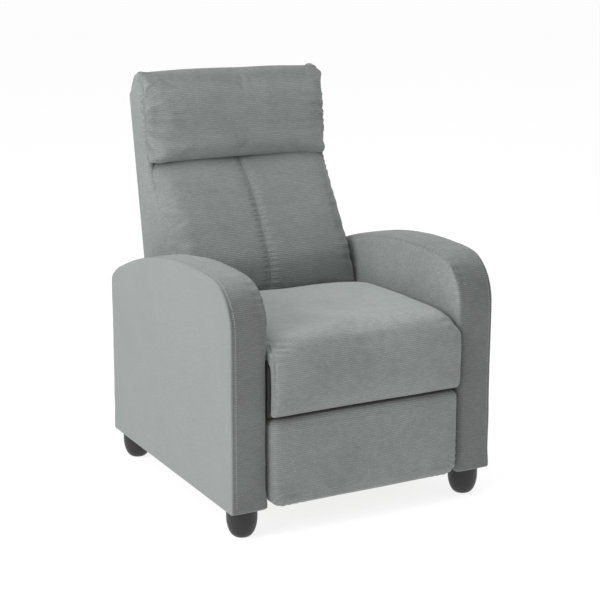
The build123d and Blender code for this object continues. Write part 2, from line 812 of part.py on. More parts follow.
# Cover: rear skin from top to tail, a top edge, and deep foam side walls above the arms' level.
wall_low = layer(3)[1] + 0.3
skin_outline = [
    (rear_line(skirt_z), skirt_z),
    (rear_line(back_top_z), back_top_z),
    (edge_top[0] - 1, back_top_z),
    (edge_top[0] - 1, back_top_z - back_skin),
    (rear_line(back_top_z - back_skin, back_skin), back_top_z - back_skin),
    (rear_line(skirt_z, back_skin), skirt_z),
]
tail_outline = [
    (rear_line(tail_z), tail_z),
    (rear_line(skirt_z), skirt_z),
    (rear_line(skirt_z, back_skin), skirt_z),
    (rear_line(tail_z, back_skin), tail_z),
]
wall_outline = [
    (rear_line(skirt_z), skirt_z),
    (rear_line(back_top_z), back_top_z),
    (edge_top[0] - 1, back_top_z),
    edge_brow,
    edge_lumbar,
    edge_foot,
    (edge_foot[0] + 6, skirt_z),
]
cover_pieces = [
    slab(1, -back_half, back_half, skin_outline, {1: 4}),
    slab(1, -layer(3)[1], layer(3)[1], tail_outline),
    *(slab(side, wall_low, back_half, wall_outline, {1: 4}) for side in (1, -1)),
]
with BuildPart() as back_cover:
    for piece in cover_pieces:
        add(piece)
nodes["back_cover"] = back_cover.part

bracket_points = [
    (hinge[0] - 19, hinge[1] - 12),
    (hinge[0] + 4, hinge[1] - 20),
    (hinge[0] + 70, hinge[1] - 34),
    (hinge[0] + 100, hinge[1] + 30),
    (hinge[0] + 112, seat_height + 12),
    (hinge[0] + 66, seat_height + 12),
    (hinge[0] + 46, hinge[1] + 50),
    (hinge[0] - 14, hinge[1] + 18),
]
bracket_radii = {0: 10, 1: 14, 2: 12, 3: 60, 4: 10, 5: 10, 6: 30, 7: 12}
for name, side in SIDES:
    low, high = layer(3)
    bracket_blank = slab(side, low, high, bracket_points, bracket_radii)
    with BuildPart() as bracket:
        add(bracket_blank)
        plane, thickness = span(side, low, high)
        with BuildSketch(plane):
            with Locations(hinge):
                Circle(run_hole)
            with Locations(*bracket_bolts):
                Circle(bolt_radius)
        extrude(amount=thickness, mode=Mode.SUBTRACT)
    nodes[f"back_bracket_{name}"] = bracket.part

# Back cushion: deep at the loins and thin under the headrest, on the front of the side boards.
back_cushion_outline = [
    along(edge_foot, (-1, 0), soft_gap),
    along(edge_lumbar, (-1, 0), soft_gap),
    (edge_y(lip_z - 7) - soft_gap, lip_z - 7),
    (back_rear_y - 141, lip_z - 10),
    (back_rear_y - 214, lip_z - 88),
    (back_rear_y - 268, seat_height + 110),
    (back_rear_y - 300, seat_height + 48),
    (back_rear_y - 311, seat_height - 10),
    (back_rear_y - 304, seat_height - 52),
    (edge_foot[0] - soft_gap, seat_height - 62),
]
nodes["back_cushion"] = slab(
    1, -back_half, back_half, back_cushion_outline, {3: 14, 4: 70, 5: 120, 6: 60, 7: 40, 8: 14}
)

headrest_outline = [
    (edge_brow[0] - soft_gap - 1, lip_z - 2),
    (edge_top[0] - soft_gap - 1, back_top_z),
    (edge_top[0] - soft_gap + 12, back_top_z + soft_gap),
    (edge_top[0] - soft_gap + 12, height - 26),
    (back_rear_y - 58, height - 4),
    (back_rear_y - 96, height),
    (back_rear_y - 138, height - 26),
    (back_rear_y - 166, height - 85),
    (back_rear_y - 168, height - 160),
    (back_rear_y - 150, lip_z - 4),
]
nodes["headrest"] = slab(
    1, -back_half, back_half, headrest_outline, {3: 14, 4: 20, 5: 20, 6: 30, 7: 60, 8: 60, 9: 16}
)

nodes["back_bolts"] = group(
    bolt((side * board_low, *p), (side, 0, 0), back_board + steel) for side in (1, -1) for p in bracket_bolts
)

os.makedirs("parts", exist_ok=True)
for node, shape in nodes.items():
    shape.label = node
    export_step(shape, f"parts/{node}.step")
print(len(nodes), "nodes")
print("hinge", hinge, "swing length", round(swing_length, 1))
for label, point in (
    ("front_lift_base", front_lift_base), ("rear_lift_base", rear_lift_base),
    ("front_lift_top", front_lift_top), ("rear_lift_top", rear_lift_top),
    ("front_pivot", front_pivot), ("rear_pivot", rear_pivot),
    ("joint_low", joint_low), ("joint_high", joint_high), ("joint_rear", joint_rear),
    ("bracket_low", bracket_low), ("bracket_high", bracket_high),
):
    print(label, [round(v, 3) for v in point])
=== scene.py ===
import bmesh
import bpy
import numpy as np
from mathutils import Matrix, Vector
from mathutils.bvhtree import BVHTree


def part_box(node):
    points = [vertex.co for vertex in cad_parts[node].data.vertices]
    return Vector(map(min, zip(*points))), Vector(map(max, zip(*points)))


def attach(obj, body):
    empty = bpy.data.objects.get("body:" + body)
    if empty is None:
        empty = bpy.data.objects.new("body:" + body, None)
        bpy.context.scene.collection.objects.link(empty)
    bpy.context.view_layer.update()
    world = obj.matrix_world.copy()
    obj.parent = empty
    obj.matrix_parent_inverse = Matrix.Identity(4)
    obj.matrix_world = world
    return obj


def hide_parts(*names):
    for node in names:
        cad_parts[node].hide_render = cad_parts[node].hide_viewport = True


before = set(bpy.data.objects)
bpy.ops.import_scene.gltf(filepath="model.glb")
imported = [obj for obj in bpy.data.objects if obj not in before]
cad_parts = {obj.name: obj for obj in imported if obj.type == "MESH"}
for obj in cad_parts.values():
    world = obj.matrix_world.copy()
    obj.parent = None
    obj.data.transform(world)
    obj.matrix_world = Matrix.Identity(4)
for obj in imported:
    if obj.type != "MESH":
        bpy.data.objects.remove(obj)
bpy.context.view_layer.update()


# ---- Studio ----
# A seamless pale floor, a broad light box on the chair's right, one overhead and a weak one
# behind, and the camera standing a little above the arms, in front and to the chair's right.
def put(tree, kind, sockets=None, **settings):
    """Adds a node. A socket is given a value, or another node's output to be linked to."""
    made = tree.nodes.new(kind)
    for key, value in settings.items():
        setattr(made, key, value)
    for key, value in (sockets or {}).items():
        if isinstance(value, bpy.types.NodeSocket):
            tree.links.new(value, made.inputs[key])
        else:
            made.inputs[key].default_value = value
    return made


def blank_material(name):
    """A material with only its output and one Principled shader."""
    made = bpy.data.materials.new(name)
    made.use_nodes = True
    return made, made.node_tree, made.node_tree.nodes["Principled BSDF"]


def stand(made):
    """Puts an object into the scene."""
    bpy.context.scene.collection.objects.link(made)
    return made


half_floor = 60.0
floor_mesh = bpy.data.meshes.new("studio_floor")
floor_mesh.from_pydata(
    [(x * half_floor, y * half_floor, 0) for x, y in ((-1, -1), (1, -1), (1, 1), (-1, 1))],
    [],
    [(0, 1, 2, 3)],
)
floor = stand(bpy.data.objects.new("studio_floor", floor_mesh))
floor_paper, tree, shader = blank_material("floor paper")
grain = put(tree, "ShaderNodeTexNoise", {"Scale": 90.0, "Detail": 4.0})
tone = put(tree, "ShaderNodeMapRange", {"Value": grain.outputs["Fac"], "To Min": 0.30, "To Max": 0.32})
tree.links.new(tone.outputs["Result"], shader.inputs["Base Color"])
shader.inputs["Roughness"].default_value = 0.9
shader.inputs["Specular IOR Level"].default_value = 0.1
shader.inputs["Emission Color"].default_value = (1, 1, 1, 1)
shader.inputs["Emission Strength"].default_value = 0.83
floor_mesh.materials.append(floor_paper)

sky = bpy.data.worlds.new("studio")
sky.use_nodes = True
sky.node_tree.nodes["Background"].inputs["Color"].default_value = (1, 1, 1, 1)
sky.node_tree.nodes["Background"].inputs["Strength"].default_value = 0.45
bpy.context.scene.world = sky
bpy.context.scene.view_settings.view_transform = "Standard"

for name, place, aim, width, height, power in (
    ("side_box", (-3.4, -0.7, 1.9), (0, -0.05, 0.45), 2.4, 2.0, 78.0),
    ("top_box", (-0.4, -0.2, 3.4), (0, -0.05, 0.45), 2.6, 2.6, 44.0),
    ("rim_box", (-1.6, 1.9, 2.6), (0, -0.05, 0.45), 1.6, 1.6, 10.0),
):
    lamp = bpy.data.lights.new(name, "AREA")
    lamp.shape = "RECTANGLE"
    lamp.size, lamp.size_y, lamp.energy = width, height, power
    lamp_object = stand(bpy.data.objects.new(name, lamp))
    lamp_object.location = place
    lamp_object.rotation_euler = (Vector(aim) - Vector(place)).to_track_quat("-Z", "Y").to_euler()

camera_data = bpy.data.cameras.new("camera")
camera_data.lens = 100.2
camera_data.sensor_width = 36.0
camera_data.shift_y = -0.0528
camera = stand(bpy.data.objects.new("camera", camera_data))
camera.location = (-1.8623, -3.5592, 1.4730)
camera.rotation_euler = Vector((0.45688, 0.85927, -0.23005)).to_track_quat("-Z", "Y").to_euler()
bpy.context.scene.camera = camera


# ---- Arm covers ----
# Each arm is a plywood box wrapped in thin foam and ribbed fabric: a flat outer panel and an inner
# panel, sewn to a long band that runs up the front, over the crown and down the rear. The outer
# seam is top-stitched. Inside, the foam is thicker round the front of the crown.
SIDES = (("left", 1), ("right", -1))
tau = 2 * np.pi


def closed_form(name, rings, ladder=True):
    """Skin through closed rings, an (m, n, 3) array with n even. The first and last rings are closed by rungs
    from point i to point n - 1 - i, or, when ladder is false, as for rings whose rungs would cross a bend, by
    triangles."""
    m, n, _ = rings.shape
    row = np.arange(m - 1)[:, None] * n
    here = np.arange(n)[None]
    after = (here + 1) % n
    quads = np.stack([row + here, row + after, row + n + after, row + n + here], -1).reshape(-1, 4)
    rung = np.arange(n // 2 - 1)
    cap = np.stack([rung, n - 1 - rung, n - 2 - rung, rung + 1], -1)
    caps = cap.tolist() + (cap[:, ::-1] + (m - 1) * n).tolist()
    if not ladder:
        caps = [list(range(n))[::-1], list(range((m - 1) * n, m * n))]
    mesh = bpy.data.meshes.new(name)
    mesh.from_pydata(rings.reshape(-1, 3).tolist(), [], quads.tolist() + caps)
    work = bmesh.new()
    work.from_mesh(mesh)
    bmesh.ops.triangulate(work, faces=[f for f in work.faces if len(f.verts) > 4])
    bmesh.ops.recalc_face_normals(work, faces=work.faces)
    work.to_mesh(mesh)
    work.free()
    mesh.shade_smooth()
    return stand(bpy.data.objects.new(name, mesh))


def smooth_loop(corners, count, rounds=3):
    """Closed curve: corners are cut a quarter of a side at a time, then points are evenly spaced."""
    line = np.array(corners, float)
    for _ in range(rounds):
        nxt = np.roll(line, -1, 0)
        line = np.stack([0.75 * line + 0.25 * nxt, 0.25 * line + 0.75 * nxt], 1).reshape(-1, 2)
    line = np.vstack([line, line[:1]])
    run = np.concatenate([[0], np.cumsum(np.hypot(*np.diff(line, axis=0).T))])
    at = np.linspace(0, run[-1], count, endpoint=False)
    return np.stack([np.interp(at, run, line[:, k]) for k in (0, 1)], 1)


def inward(loop, rounds=8):
    """Unit normals of a closed curve, pointing into it. They are averaged with their neighbours a few
    times, so that they fan out evenly round a sharp corner and offset rings never fold over."""
    way = np.roll(loop, -1, 0) - np.roll(loop, 1, 0)
    side = np.stack([-way[:, 1], way[:, 0]], 1) / np.linalg.norm(way, axis=1, keepdims=True)
    for _ in range(rounds):
        side = side * 2 + np.roll(side, 1, 0) + np.roll(side, -1, 0)
        side /= np.linalg.norm(side, axis=1, keepdims=True)
    area = np.sum(loop[:, 0] * np.roll(loop[:, 1], -1) - np.roll(loop[:, 0], -1) * loop[:, 1])
    return side * np.sign(area)


def points_of(piece):
    """Every vertex of the piece, as rows of x, y, z."""
    found = np.empty(len(piece.data.vertices) * 3, np.float32)
    piece.data.vertices.foreach_get("co", found)
    return found.reshape(-1, 3).astype(float)


def set_points(piece, points):
    """Puts every vertex of the piece at its row of points."""
    piece.data.vertices.foreach_set("co", points.astype(np.float32).ravel())
    piece.data.update()


def normals_of(piece):
    """The outward direction at every vertex."""
    found = np.empty(len(piece.data.vertices) * 3, np.float32)
    piece.data.vertices.foreach_get("normal", found)
    return found.reshape(-1, 3).astype(float)


def press(piece, amount):
    """Moves each point outwards along its normal by amount(x, y, z, normals), in metres."""
    points, normals = points_of(piece), normals_of(piece)
    set_points(piece, points + normals * amount(*points.T, normals)[:, None])


def settle(piece):
    """Turns the piece's modifiers into its mesh."""
    done = bpy.data.meshes.new_from_object(piece.evaluated_get(bpy.context.evaluated_depsgraph_get()))
    piece.modifiers.clear()
    piece.data = done


def refine(piece, level=1):
    """Catmull-Clark subdivision, made part of the mesh."""
    finer = piece.modifiers.new("finer", "SUBSURF")
    finer.levels = finer.render_levels = level
    settle(piece)
    piece.data.shade_smooth()


def step(value, low, high):
    """0 below low, 1 above high, and a smooth rise between."""
    t = np.clip((value - low) / (high - low), 0, 1)
    return t * t * (3 - 2 * t)


def ripple(a, b, seed, waves=6):
    """Soft unevenness: the mean of a few sine waves in a and b with fixed odd directions."""
    turn = np.random.default_rng(seed)
    total = np.zeros_like(a)
    for _ in range(waves):
        angle, phase, pace = turn.uniform(0, tau), turn.uniform(0, tau), turn.uniform(0.6, 1.7)
        total += np.sin(pace * (a * np.cos(angle) + b * np.sin(angle)) + phase)
    return total / waves


def lay_cloth(piece, loop=None, nap_and_painted_light=None):
    """UV map in metres: across the piece, and the way round the loop, or straight up where there is
    no loop. Faces that look sideways take the plain side view, so the ribs run on unstretched.
    The nap argument, a function of x, y, z and n, gives painted light and shade: a factor on the cloth colour
    set by which way each point faces."""
    points = points_of(piece)
    flat = points[:, 1:]
    upward = points[:, 2].copy()
    if loop is not None:
        pace = np.linalg.norm(np.roll(loop, -1, 0) - loop, axis=1)
        run = np.concatenate([[0], np.cumsum(pace)[:-1]])
        for start in range(0, len(points), 4000):
            part = flat[start : start + 4000]
            near = np.argmin(((part[:, None] - loop[None]) ** 2).sum(-1), 1)
            ahead = (np.roll(loop, -1, 0) - loop)[near] / pace[near, None]
            upward[start : start + 4000] = run[near] + ((part - loop[near]) * ahead).sum(1)
    mesh = piece.data
    corner = np.empty(len(mesh.loops), np.int32)
    mesh.loops.foreach_get("vertex_index", corner)
    facing = np.empty(len(mesh.polygons) * 3, np.float32)
    mesh.polygons.foreach_get("normal", facing)
    size = np.empty(len(mesh.polygons), np.int32)
    mesh.polygons.foreach_get("loop_total", size)
    sideways = np.repeat(np.abs(facing.reshape(-1, 3)[:, 0]) > 0.8, size)
    uv = np.stack([points[corner, 0], upward[corner]], 1)
    uv[sideways] = flat[corner][sideways]
    layer = mesh.uv_layers.new(name="cloth")
    layer.data.foreach_set("uv", uv.astype(np.float32).ravel())
    # The nap attribute stores painted light and shade by facing, which the fabric multiplies into its colour.
    tone = nap_and_painted_light(*points.T, normals_of(piece)) if nap_and_painted_light else np.ones(len(points))
    mesh.attributes.new("nap_and_painted_light", "FLOAT", "POINT").data.foreach_set("value", tone.astype(np.float32))


def start_group(name, inputs, outputs):
    """A shader node group with named sockets. inputs: name, socket kind, value."""
    made = bpy.data.node_groups.new(name, "ShaderNodeTree")
    for label, kind, value in inputs:
        socket = made.interface.new_socket(label, in_out="INPUT", socket_type=kind)
        if value is not None:
            socket.default_value = value
    for label, kind in outputs:
        made.interface.new_socket(label, in_out="OUTPUT", socket_type=kind)
    return made, made.nodes.new("NodeGroupInput"), made.nodes.new("NodeGroupOutput")


def sums(tree, operation, a, b=0.0):
    """A Math node on two values or outputs. Gives its result."""
    return put(tree, "ShaderNodeMath", {0: a, 1: b}, operation=operation).outputs[0]


# Ribbed weave: raised ribs, each broken into short floats of uneven height that start anywhere
# along the rib, with fine fibre over all of it.
ribbed, inside, outside = start_group(
    "ribbed weave",
    (
        ("Cloth", "NodeSocketVector", None),
        ("Rib", "NodeSocketFloat", 0.0042),
        ("Float", "NodeSocketFloat", 0.0085),
    ),
    (("Height", "NodeSocketFloat"), ("Thread", "NodeSocketFloat")),
)
split = put(ribbed, "ShaderNodeSeparateXYZ", {0: inside.outputs["Cloth"]})
wander = put(ribbed, "ShaderNodeTexNoise", {"Vector": inside.outputs["Cloth"], "Scale": 55.0, "Detail": 3.0})
drift = sums(ribbed, "MULTIPLY", wander.outputs["Fac"], 0.0040)
up = sums(ribbed, "DIVIDE", sums(ribbed, "ADD", split.outputs["Y"], drift), inside.outputs["Rib"])
row = sums(ribbed, "FLOOR", up)
along_rib = sums(ribbed, "DIVIDE", sums(ribbed, "ADD", split.outputs["X"], drift), inside.outputs["Float"])
start = put(ribbed, "ShaderNodeTexWhiteNoise", {"W": row}, noise_dimensions="1D").outputs["Value"]
stagger = sums(ribbed, "ADD", along_rib, start)
pair = put(ribbed, "ShaderNodeCombineXYZ", {"X": sums(ribbed, "FLOOR", stagger), "Y": row}).outputs[0]
chance = put(ribbed, "ShaderNodeTexWhiteNoise", {"Vector": pair}, noise_dimensions="3D").outputs["Value"]
swell = sums(ribbed, "ABSOLUTE", sums(ribbed, "SINE", sums(ribbed, "MULTIPLY", stagger, tau / 2)))
rise = sums(ribbed, "ABSOLUTE", sums(ribbed, "SINE", sums(ribbed, "MULTIPLY", up, tau / 2)))
uneven = sums(ribbed, "MULTIPLY", chance, 0.45)
float_height = sums(ribbed, "ADD", uneven, sums(ribbed, "MULTIPLY", swell, 0.25))
body = sums(ribbed, "MULTIPLY", rise, sums(ribbed, "ADD", float_height, 0.35))
fibre = put(ribbed, "ShaderNodeTexNoise", {"Vector": inside.outputs["Cloth"], "Scale": 620.0, "Detail": 3.0})
fibre_height = sums(ribbed, "MULTIPLY", fibre.outputs["Fac"], 0.45)
ribbed.links.new(sums(ribbed, "ADD", body, fibre_height), outside.inputs["Height"])
thread_height = sums(ribbed, "ADD", sums(ribbed, "MULTIPLY", body, 0.85), fibre_height)
ribbed.links.new(thread_height, outside.inputs["Thread"])

# Pile shading: the nap lies a little differently from place to place, in broad soft patches and
# small clouds, so a plain cloth is never one even tone.
nap_and_painted_light, inside, outside = start_group(
    "pile shading",
    (("Place", "NodeSocketVector", None), ("Depth", "NodeSocketFloat", 0.12)),
    (("Tone", "NodeSocketFloat"),),
)
nap_place = inside.outputs["Place"]
broad = put(nap_and_painted_light, "ShaderNodeTexNoise", {"Vector": nap_place, "Scale": 5.0, "Detail": 3.0, "Distortion": 0.6})
cloud = put(nap_and_painted_light, "ShaderNodeTexNoise", {"Vector": nap_place, "Scale": 42.0, "Detail": 3.0})
broad_part = sums(nap_and_painted_light, "MULTIPLY", broad.outputs["Fac"], 1.3)
both = sums(nap_and_painted_light, "ADD", broad_part, sums(nap_and_painted_light, "MULTIPLY", cloud.outputs["Fac"], 0.7))
centred = sums(nap_and_painted_light, "MULTIPLY", sums(nap_and_painted_light, "SUBTRACT", both, 1.0), inside.outputs["Depth"])
nap_and_painted_light.links.new(sums(nap_and_painted_light, "ADD", centred, 1.0), outside.inputs["Tone"])


def fabric(name, colour, rib=0.0044, floats=0.0095, weave=0.30, depth=0.30, bump=0.9):
    """Ribbed upholstery: thread and random pile patches tint one grey, the nap attribute multiplies in painted
    light and shade, and the weave lifts the surface.
    """
    made, tree, shader = blank_material(name)
    cloth = put(tree, "ShaderNodeUVMap", uv_map="cloth").outputs["UV"]
    place = put(tree, "ShaderNodeTexCoord").outputs["Object"]
    threads = put(tree, "ShaderNodeGroup", node_tree=ribbed)
    threads.inputs["Rib"].default_value = rib
    threads.inputs["Float"].default_value = floats
    tree.links.new(cloth, threads.inputs["Cloth"])
    shade = put(tree, "ShaderNodeGroup", node_tree=nap_and_painted_light)
    shade.inputs["Depth"].default_value = depth
    tree.links.new(place, shade.inputs["Place"])
    thread = threads.outputs["Thread"]
    lift = put(tree, "ShaderNodeMapRange", {"Value": thread, "To Min": 1 - weave, "To Max": 1 + weave * 0.6})
    # Painted light and shade: the per-point nap attribute, lighter or darker by which way the cloth faces.
    painted_facing_light = put(tree, "ShaderNodeAttribute", attribute_name="nap_and_painted_light").outputs["Fac"]
    tone = sums(tree, "MULTIPLY", sums(tree, "MULTIPLY", lift.outputs[0], shade.outputs["Tone"]), painted_facing_light)
    tint = put(tree, "ShaderNodeVectorMath", {0: colour, "Scale": tone}, operation="SCALE")
    tree.links.new(tint.outputs[0], shader.inputs["Base Color"])
    weave_height = threads.outputs["Height"]
    raised = put(tree, "ShaderNodeBump", {"Strength": bump, "Distance": 0.0007, "Height": weave_height})
    tree.links.new(raised.outputs[0], shader.inputs["Normal"])
    shader.inputs["Roughness"].default_value = 0.92
    shader.inputs["Specular IOR Level"].default_value = 0.15
    shader.inputs["Sheen Weight"].default_value = 0.30
    shader.inputs["Sheen Roughness"].default_value = 0.45
    shader.inputs["Sheen Tint"].default_value = (0.92, 1.0, 0.98, 1)
    return made


grey = (0.222, 0.238, 0.233)
grey_fabric = fabric("grey ribbed upholstery", grey)
panel_fabric = fabric("grey ribbed panel", (0.236, 0.252, 0.248), weave=0.10, depth=0.07, bump=0.30)
stitch_thread, tree, shader = blank_material("stitching thread")
twist = put(tree, "ShaderNodeTexWave", {"Scale": 380.0, "Distortion": 0.5})
ply = put(tree, "ShaderNodeMapRange", {"Value": twist.outputs["Fac"], "To Min": 0.20, "To Max": 0.34})
tree.links.new(ply.outputs[0], shader.inputs["Base Color"])
shader.inputs["Roughness"].default_value = 0.6
shader.inputs["Sheen Weight"].default_value = 0.2


def stitches(name, piece, line, pitch=0.0062, length=0.0042, thick=0.0010, sink=0.0003):
    """Short thread capsules laid on the piece along a line: each is a six-sided spindle of five
    rings whose radius is the square root of 1 - t squared, as on an ellipse."""
    mesh = piece.data
    tree_of_faces = BVHTree.FromObject(piece, bpy.context.evaluated_depsgraph_get())
    run = np.concatenate([[0], np.cumsum(np.linalg.norm(np.diff(line, axis=0), axis=1))])
    at = np.arange(pitch / 2, run[-1] - pitch / 2, pitch)
    mid = np.stack([np.interp(at, run, line[:, k]) for k in range(3)], 1)
    ahead = np.stack([np.interp(at + 0.002, run, line[:, k]) for k in range(3)], 1)
    way = ahead - np.stack([np.interp(at - 0.002, run, line[:, k]) for k in range(3)], 1)
    hits = [tree_of_faces.find_nearest(Vector(p)) for p in mid]
    seat_points = np.array([h[0] for h in hits])
    out = np.array([h[1] for h in hits])
    way -= out * (way * out).sum(1, keepdims=True)
    way /= np.linalg.norm(way, axis=1, keepdims=True)
    side = np.cross(way, out)
    t = np.array([-1.0, -0.7, 0.0, 0.7, 1.0])
    girth = np.sqrt(1 - t * t * 0.97)
    turn = np.arange(6) * tau / 6
    ring = (
        (seat_points + out * (thick * 0.4 - sink))[:, None, None]
        + way[:, None, None] * (t * length / 2)[None, :, None, None]
        + side[:, None, None] * (girth[:, None] * np.cos(turn) * thick)[None, :, :, None]
        + out[:, None, None] * (girth[:, None] * np.sin(turn) * thick * 0.7)[None, :, :, None]
    )
    i, j = np.meshgrid(np.arange(4), np.arange(6), indexing="ij")
    here, after = i * 6 + j, i * 6 + (j + 1) % 6
    one = np.stack([here, after, after + 6, here + 6], -1).reshape(-1, 4)
    faces = (one[None] + (np.arange(len(at)) * 30)[:, None, None]).reshape(-1, 4).tolist()
    for first in range(0, 30 * len(at), 30):
        faces += [list(range(first, first + 6))[::-1], list(range(first + 24, first + 30))]
    made_mesh = bpy.data.meshes.new(name)
    made_mesh.from_pydata(ring.reshape(-1, 3).tolist(), [], faces)
    work = bmesh.new()
    work.from_mesh(made_mesh)
    bmesh.ops.recalc_face_normals(work, faces=work.faces)
    work.to_mesh(made_mesh)
    work.free()
    made_mesh.shade_smooth()
    made_mesh.materials.append(stitch_thread)
    made = stand(bpy.data.objects.new(name, made_mesh))
    return made


def arc_points(centre, bend, angles):
    """Points (y, z) on a circle of radius bend about a centre."""
    return np.stack([centre[0] + bend * np.cos(angles), centre[1] + bend * np.sin(angles)], 1)


arm_low, arm_high = (np.array(c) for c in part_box("arm_cover_left"))
arm_front, arm_rear, arm_base, arm_top = arm_low[1], arm_high[1], arm_low[2], arm_high[2]
front_bend, crown_from_front, rear_height, rear_bend = 0.110, 0.197, 0.487, 0.030
crown_y = arm_front + crown_from_front
crown_long = ((arm_rear - crown_y) ** 2 + (arm_top - rear_height) ** 2) / (2 * (arm_top - rear_height))
crown_centre = arm_top - crown_long
bend_y = arm_front + front_bend
bend_z = crown_centre + np.sqrt((crown_long - front_bend) ** 2 - (crown_y - bend_y) ** 2)
join_angle = np.arctan2(bend_z - crown_centre, bend_y - crown_y)
rear_angle = np.arctan2(rear_height - crown_centre, arm_rear - crown_y)
front_arc = np.linspace(np.pi, join_angle, 24)
crown_arc = np.linspace(join_angle, rear_angle + 0.02, 60)
rear_arc = np.linspace(rear_angle, 0, 10)
rear_centre = (arm_rear - rear_bend, rear_height - rear_bend * 0.82)
outline = np.vstack(
    [
        [(arm_front + 0.004, arm_base), (arm_front, arm_base + 0.004), (arm_front, bend_z)],
        arc_points((bend_y, bend_z), front_bend, front_arc)[1:-1],
        arc_points((crown_y, crown_centre), crown_long, crown_arc)[:-2],
        arc_points(rear_centre, rear_bend, rear_arc),
        [(arm_rear, arm_base + 0.004), (arm_rear - 0.004, arm_base)],
    ]
)[::-1]
ring_line = np.vstack([outline, outline[:1]])
run = np.concatenate([[0], np.cumsum(np.linalg.norm(np.diff(ring_line, axis=0), axis=1))])
even = np.linspace(0, run[-1], 420, endpoint=False)
arm_loop = np.stack([np.interp(even, run, ring_line[:, k]) for k in (0, 1)], 1)
arm_in = inward(arm_loop) * (0.2 + 0.8 * step(arm_loop[:, 1], arm_base + 0.012, arm_base + 0.060))[:, None]
arm_middle = np.array([(arm_front + arm_rear) / 2 - 0.02, 0.30])
x_in, x_out = 0.255, 0.345

# Rows across the arm: its distance from the middle of the chair, and how far the loop is inset.
shares = (0.08, 0.2, 0.4, 0.6, 0.75, 0.87, 0.95)
outer_edge = [(x_out, 0.0075), (x_out - 0.0006, 0.0042), (x_out - 0.0026, 0.0014), (x_out - 0.0052, 0.0006)]
seam_dip = [(x_out - 0.0066, 0.0022), (x_out - 0.0082, 0.0004)]
band_x = np.linspace(x_out - 0.012, x_in + 0.020, 12)
band_rows = [(x, -0.0016 * np.sin(np.pi * (x_out - x) / 0.09)) for x in band_x]
turn = np.linspace(0.15, np.pi / 2, 7)
inner_edge = [(x_in + 0.017 - 0.017 * np.sin(a), 0.017 * (1 - np.cos(a))) for a in turn]

for name, side in SIDES:
    rings = []
    base_ring = arm_loop + arm_in * 0.0085
    for share in shares:
        flat = arm_middle + (base_ring - arm_middle) * share
        rings.append(np.column_stack([np.full(len(flat), x_out), flat]))
    for x, inset in outer_edge + seam_dip + band_rows + inner_edge:
        rings.append(np.column_stack([np.full(len(arm_loop), x), arm_loop + arm_in * inset]))
    base_ring = arm_loop + arm_in * 0.018
    for share in shares[::-1]:
        flat = arm_middle + (base_ring - arm_middle) * share
        rings.append(np.column_stack([np.full(len(flat), x_in), flat]))
    rings = np.array(rings)
    rings[..., 0] *= side
    cover = closed_form(f"arm_upholstery_{name}", rings)
    refine(cover)

    def fullness(x, y, z, n, side=side):
        """Thicker foam inside the front of the crown, gathers along its inner edge, slack cloth."""
        inner_face = step(-n[:, 0] * side, 0.2, 0.9)
        crown_gap = arm_top - 0.02 - 0.25 * np.clip(y - 0.0, 0, 1) ** 1.3
        high = step(z, 0.38, 0.50) * (1 - 0.5 * step(z, crown_gap - 0.01, crown_gap + 0.03))
        front = 1 - step(y, -0.20, 0.08)
        pad = 0.0065 * inner_face * high * front * (0.55 + 0.45 * step(z, 0.47, 0.52))
        edge = np.exp(-(((np.abs(x) - x_in - 0.010) / 0.014) ** 2)) * step(z, 0.40, 0.47)
        angle = np.arctan2(z - bend_z, y - bend_y - 0.05)
        gather = 0.0006 * np.sin(angle * 46 + 2 * np.sin(angle * 9)) * edge * front
        slack = 0.0008 * ripple(y * 26, z * 26, 5 + side) + 0.0005 * ripple(y * 70 + x * 50, z * 70, 9 + side)
        return pad + gather + slack * step(z, arm_base, arm_base + 0.04)

    def arm_painted_light(x, y, z, n, side=side):
        """Painted light and shade: the front of the band is painted darker, the inner face lighter, and a dark
        band of painted shade runs over the rounded edge where the band meets the inner panel.
        """
        front, inner = step(-n[:, 1], 0.3, 0.9), step(-n[:, 0] * side, 0.4, 0.9)
        high = 0.06 * front * step(z, 0.42, 0.52)
        # seam is painted shade over the rounded edge between the crown and the inner face.
        seam = 0.35 * np.exp(-(((n[:, 2] - 0.55) / 0.22) ** 2)) * step(-n[:, 0] * side, 0.2, 0.6)
        return 1 - 0.27 * front + 0.24 * inner * step(z, 0.42, 0.50) - high - seam * step(z, 0.5, 0.56)

    press(cover, fullness)
    lay_cloth(cover, arm_loop, arm_painted_light)
    cover.data.materials.append(grey_fabric)
    cover.data.materials.append(panel_fabric)
    where = np.empty(len(cover.data.polygons) * 3, np.float32)
    cover.data.polygons.foreach_get("center", where)
    where = where.reshape(-1, 3)
    on_panel = np.abs(where[:, 0]) > x_out - 0.0056
    cover.data.polygons.foreach_set("material_index", on_panel.astype(np.int32))
    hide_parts(f"arm_cover_{name}")
    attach(cover, "base")
    keep = arm_loop[(arm_loop[:, 1] > arm_base + 0.012)]
    first = int(np.argmax(np.linalg.norm(np.diff(keep, axis=0), axis=1))) + 1
    if first < len(keep) and np.linalg.norm(keep[0] - keep[-1]) < 0.02:
        keep = np.roll(keep, -first, 0)
    row_line = np.column_stack([np.full(len(keep), side * (x_out - 0.0115)), keep])
    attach(stitches(f"arm_seam_stitches_{name}", cover, row_line), "base")


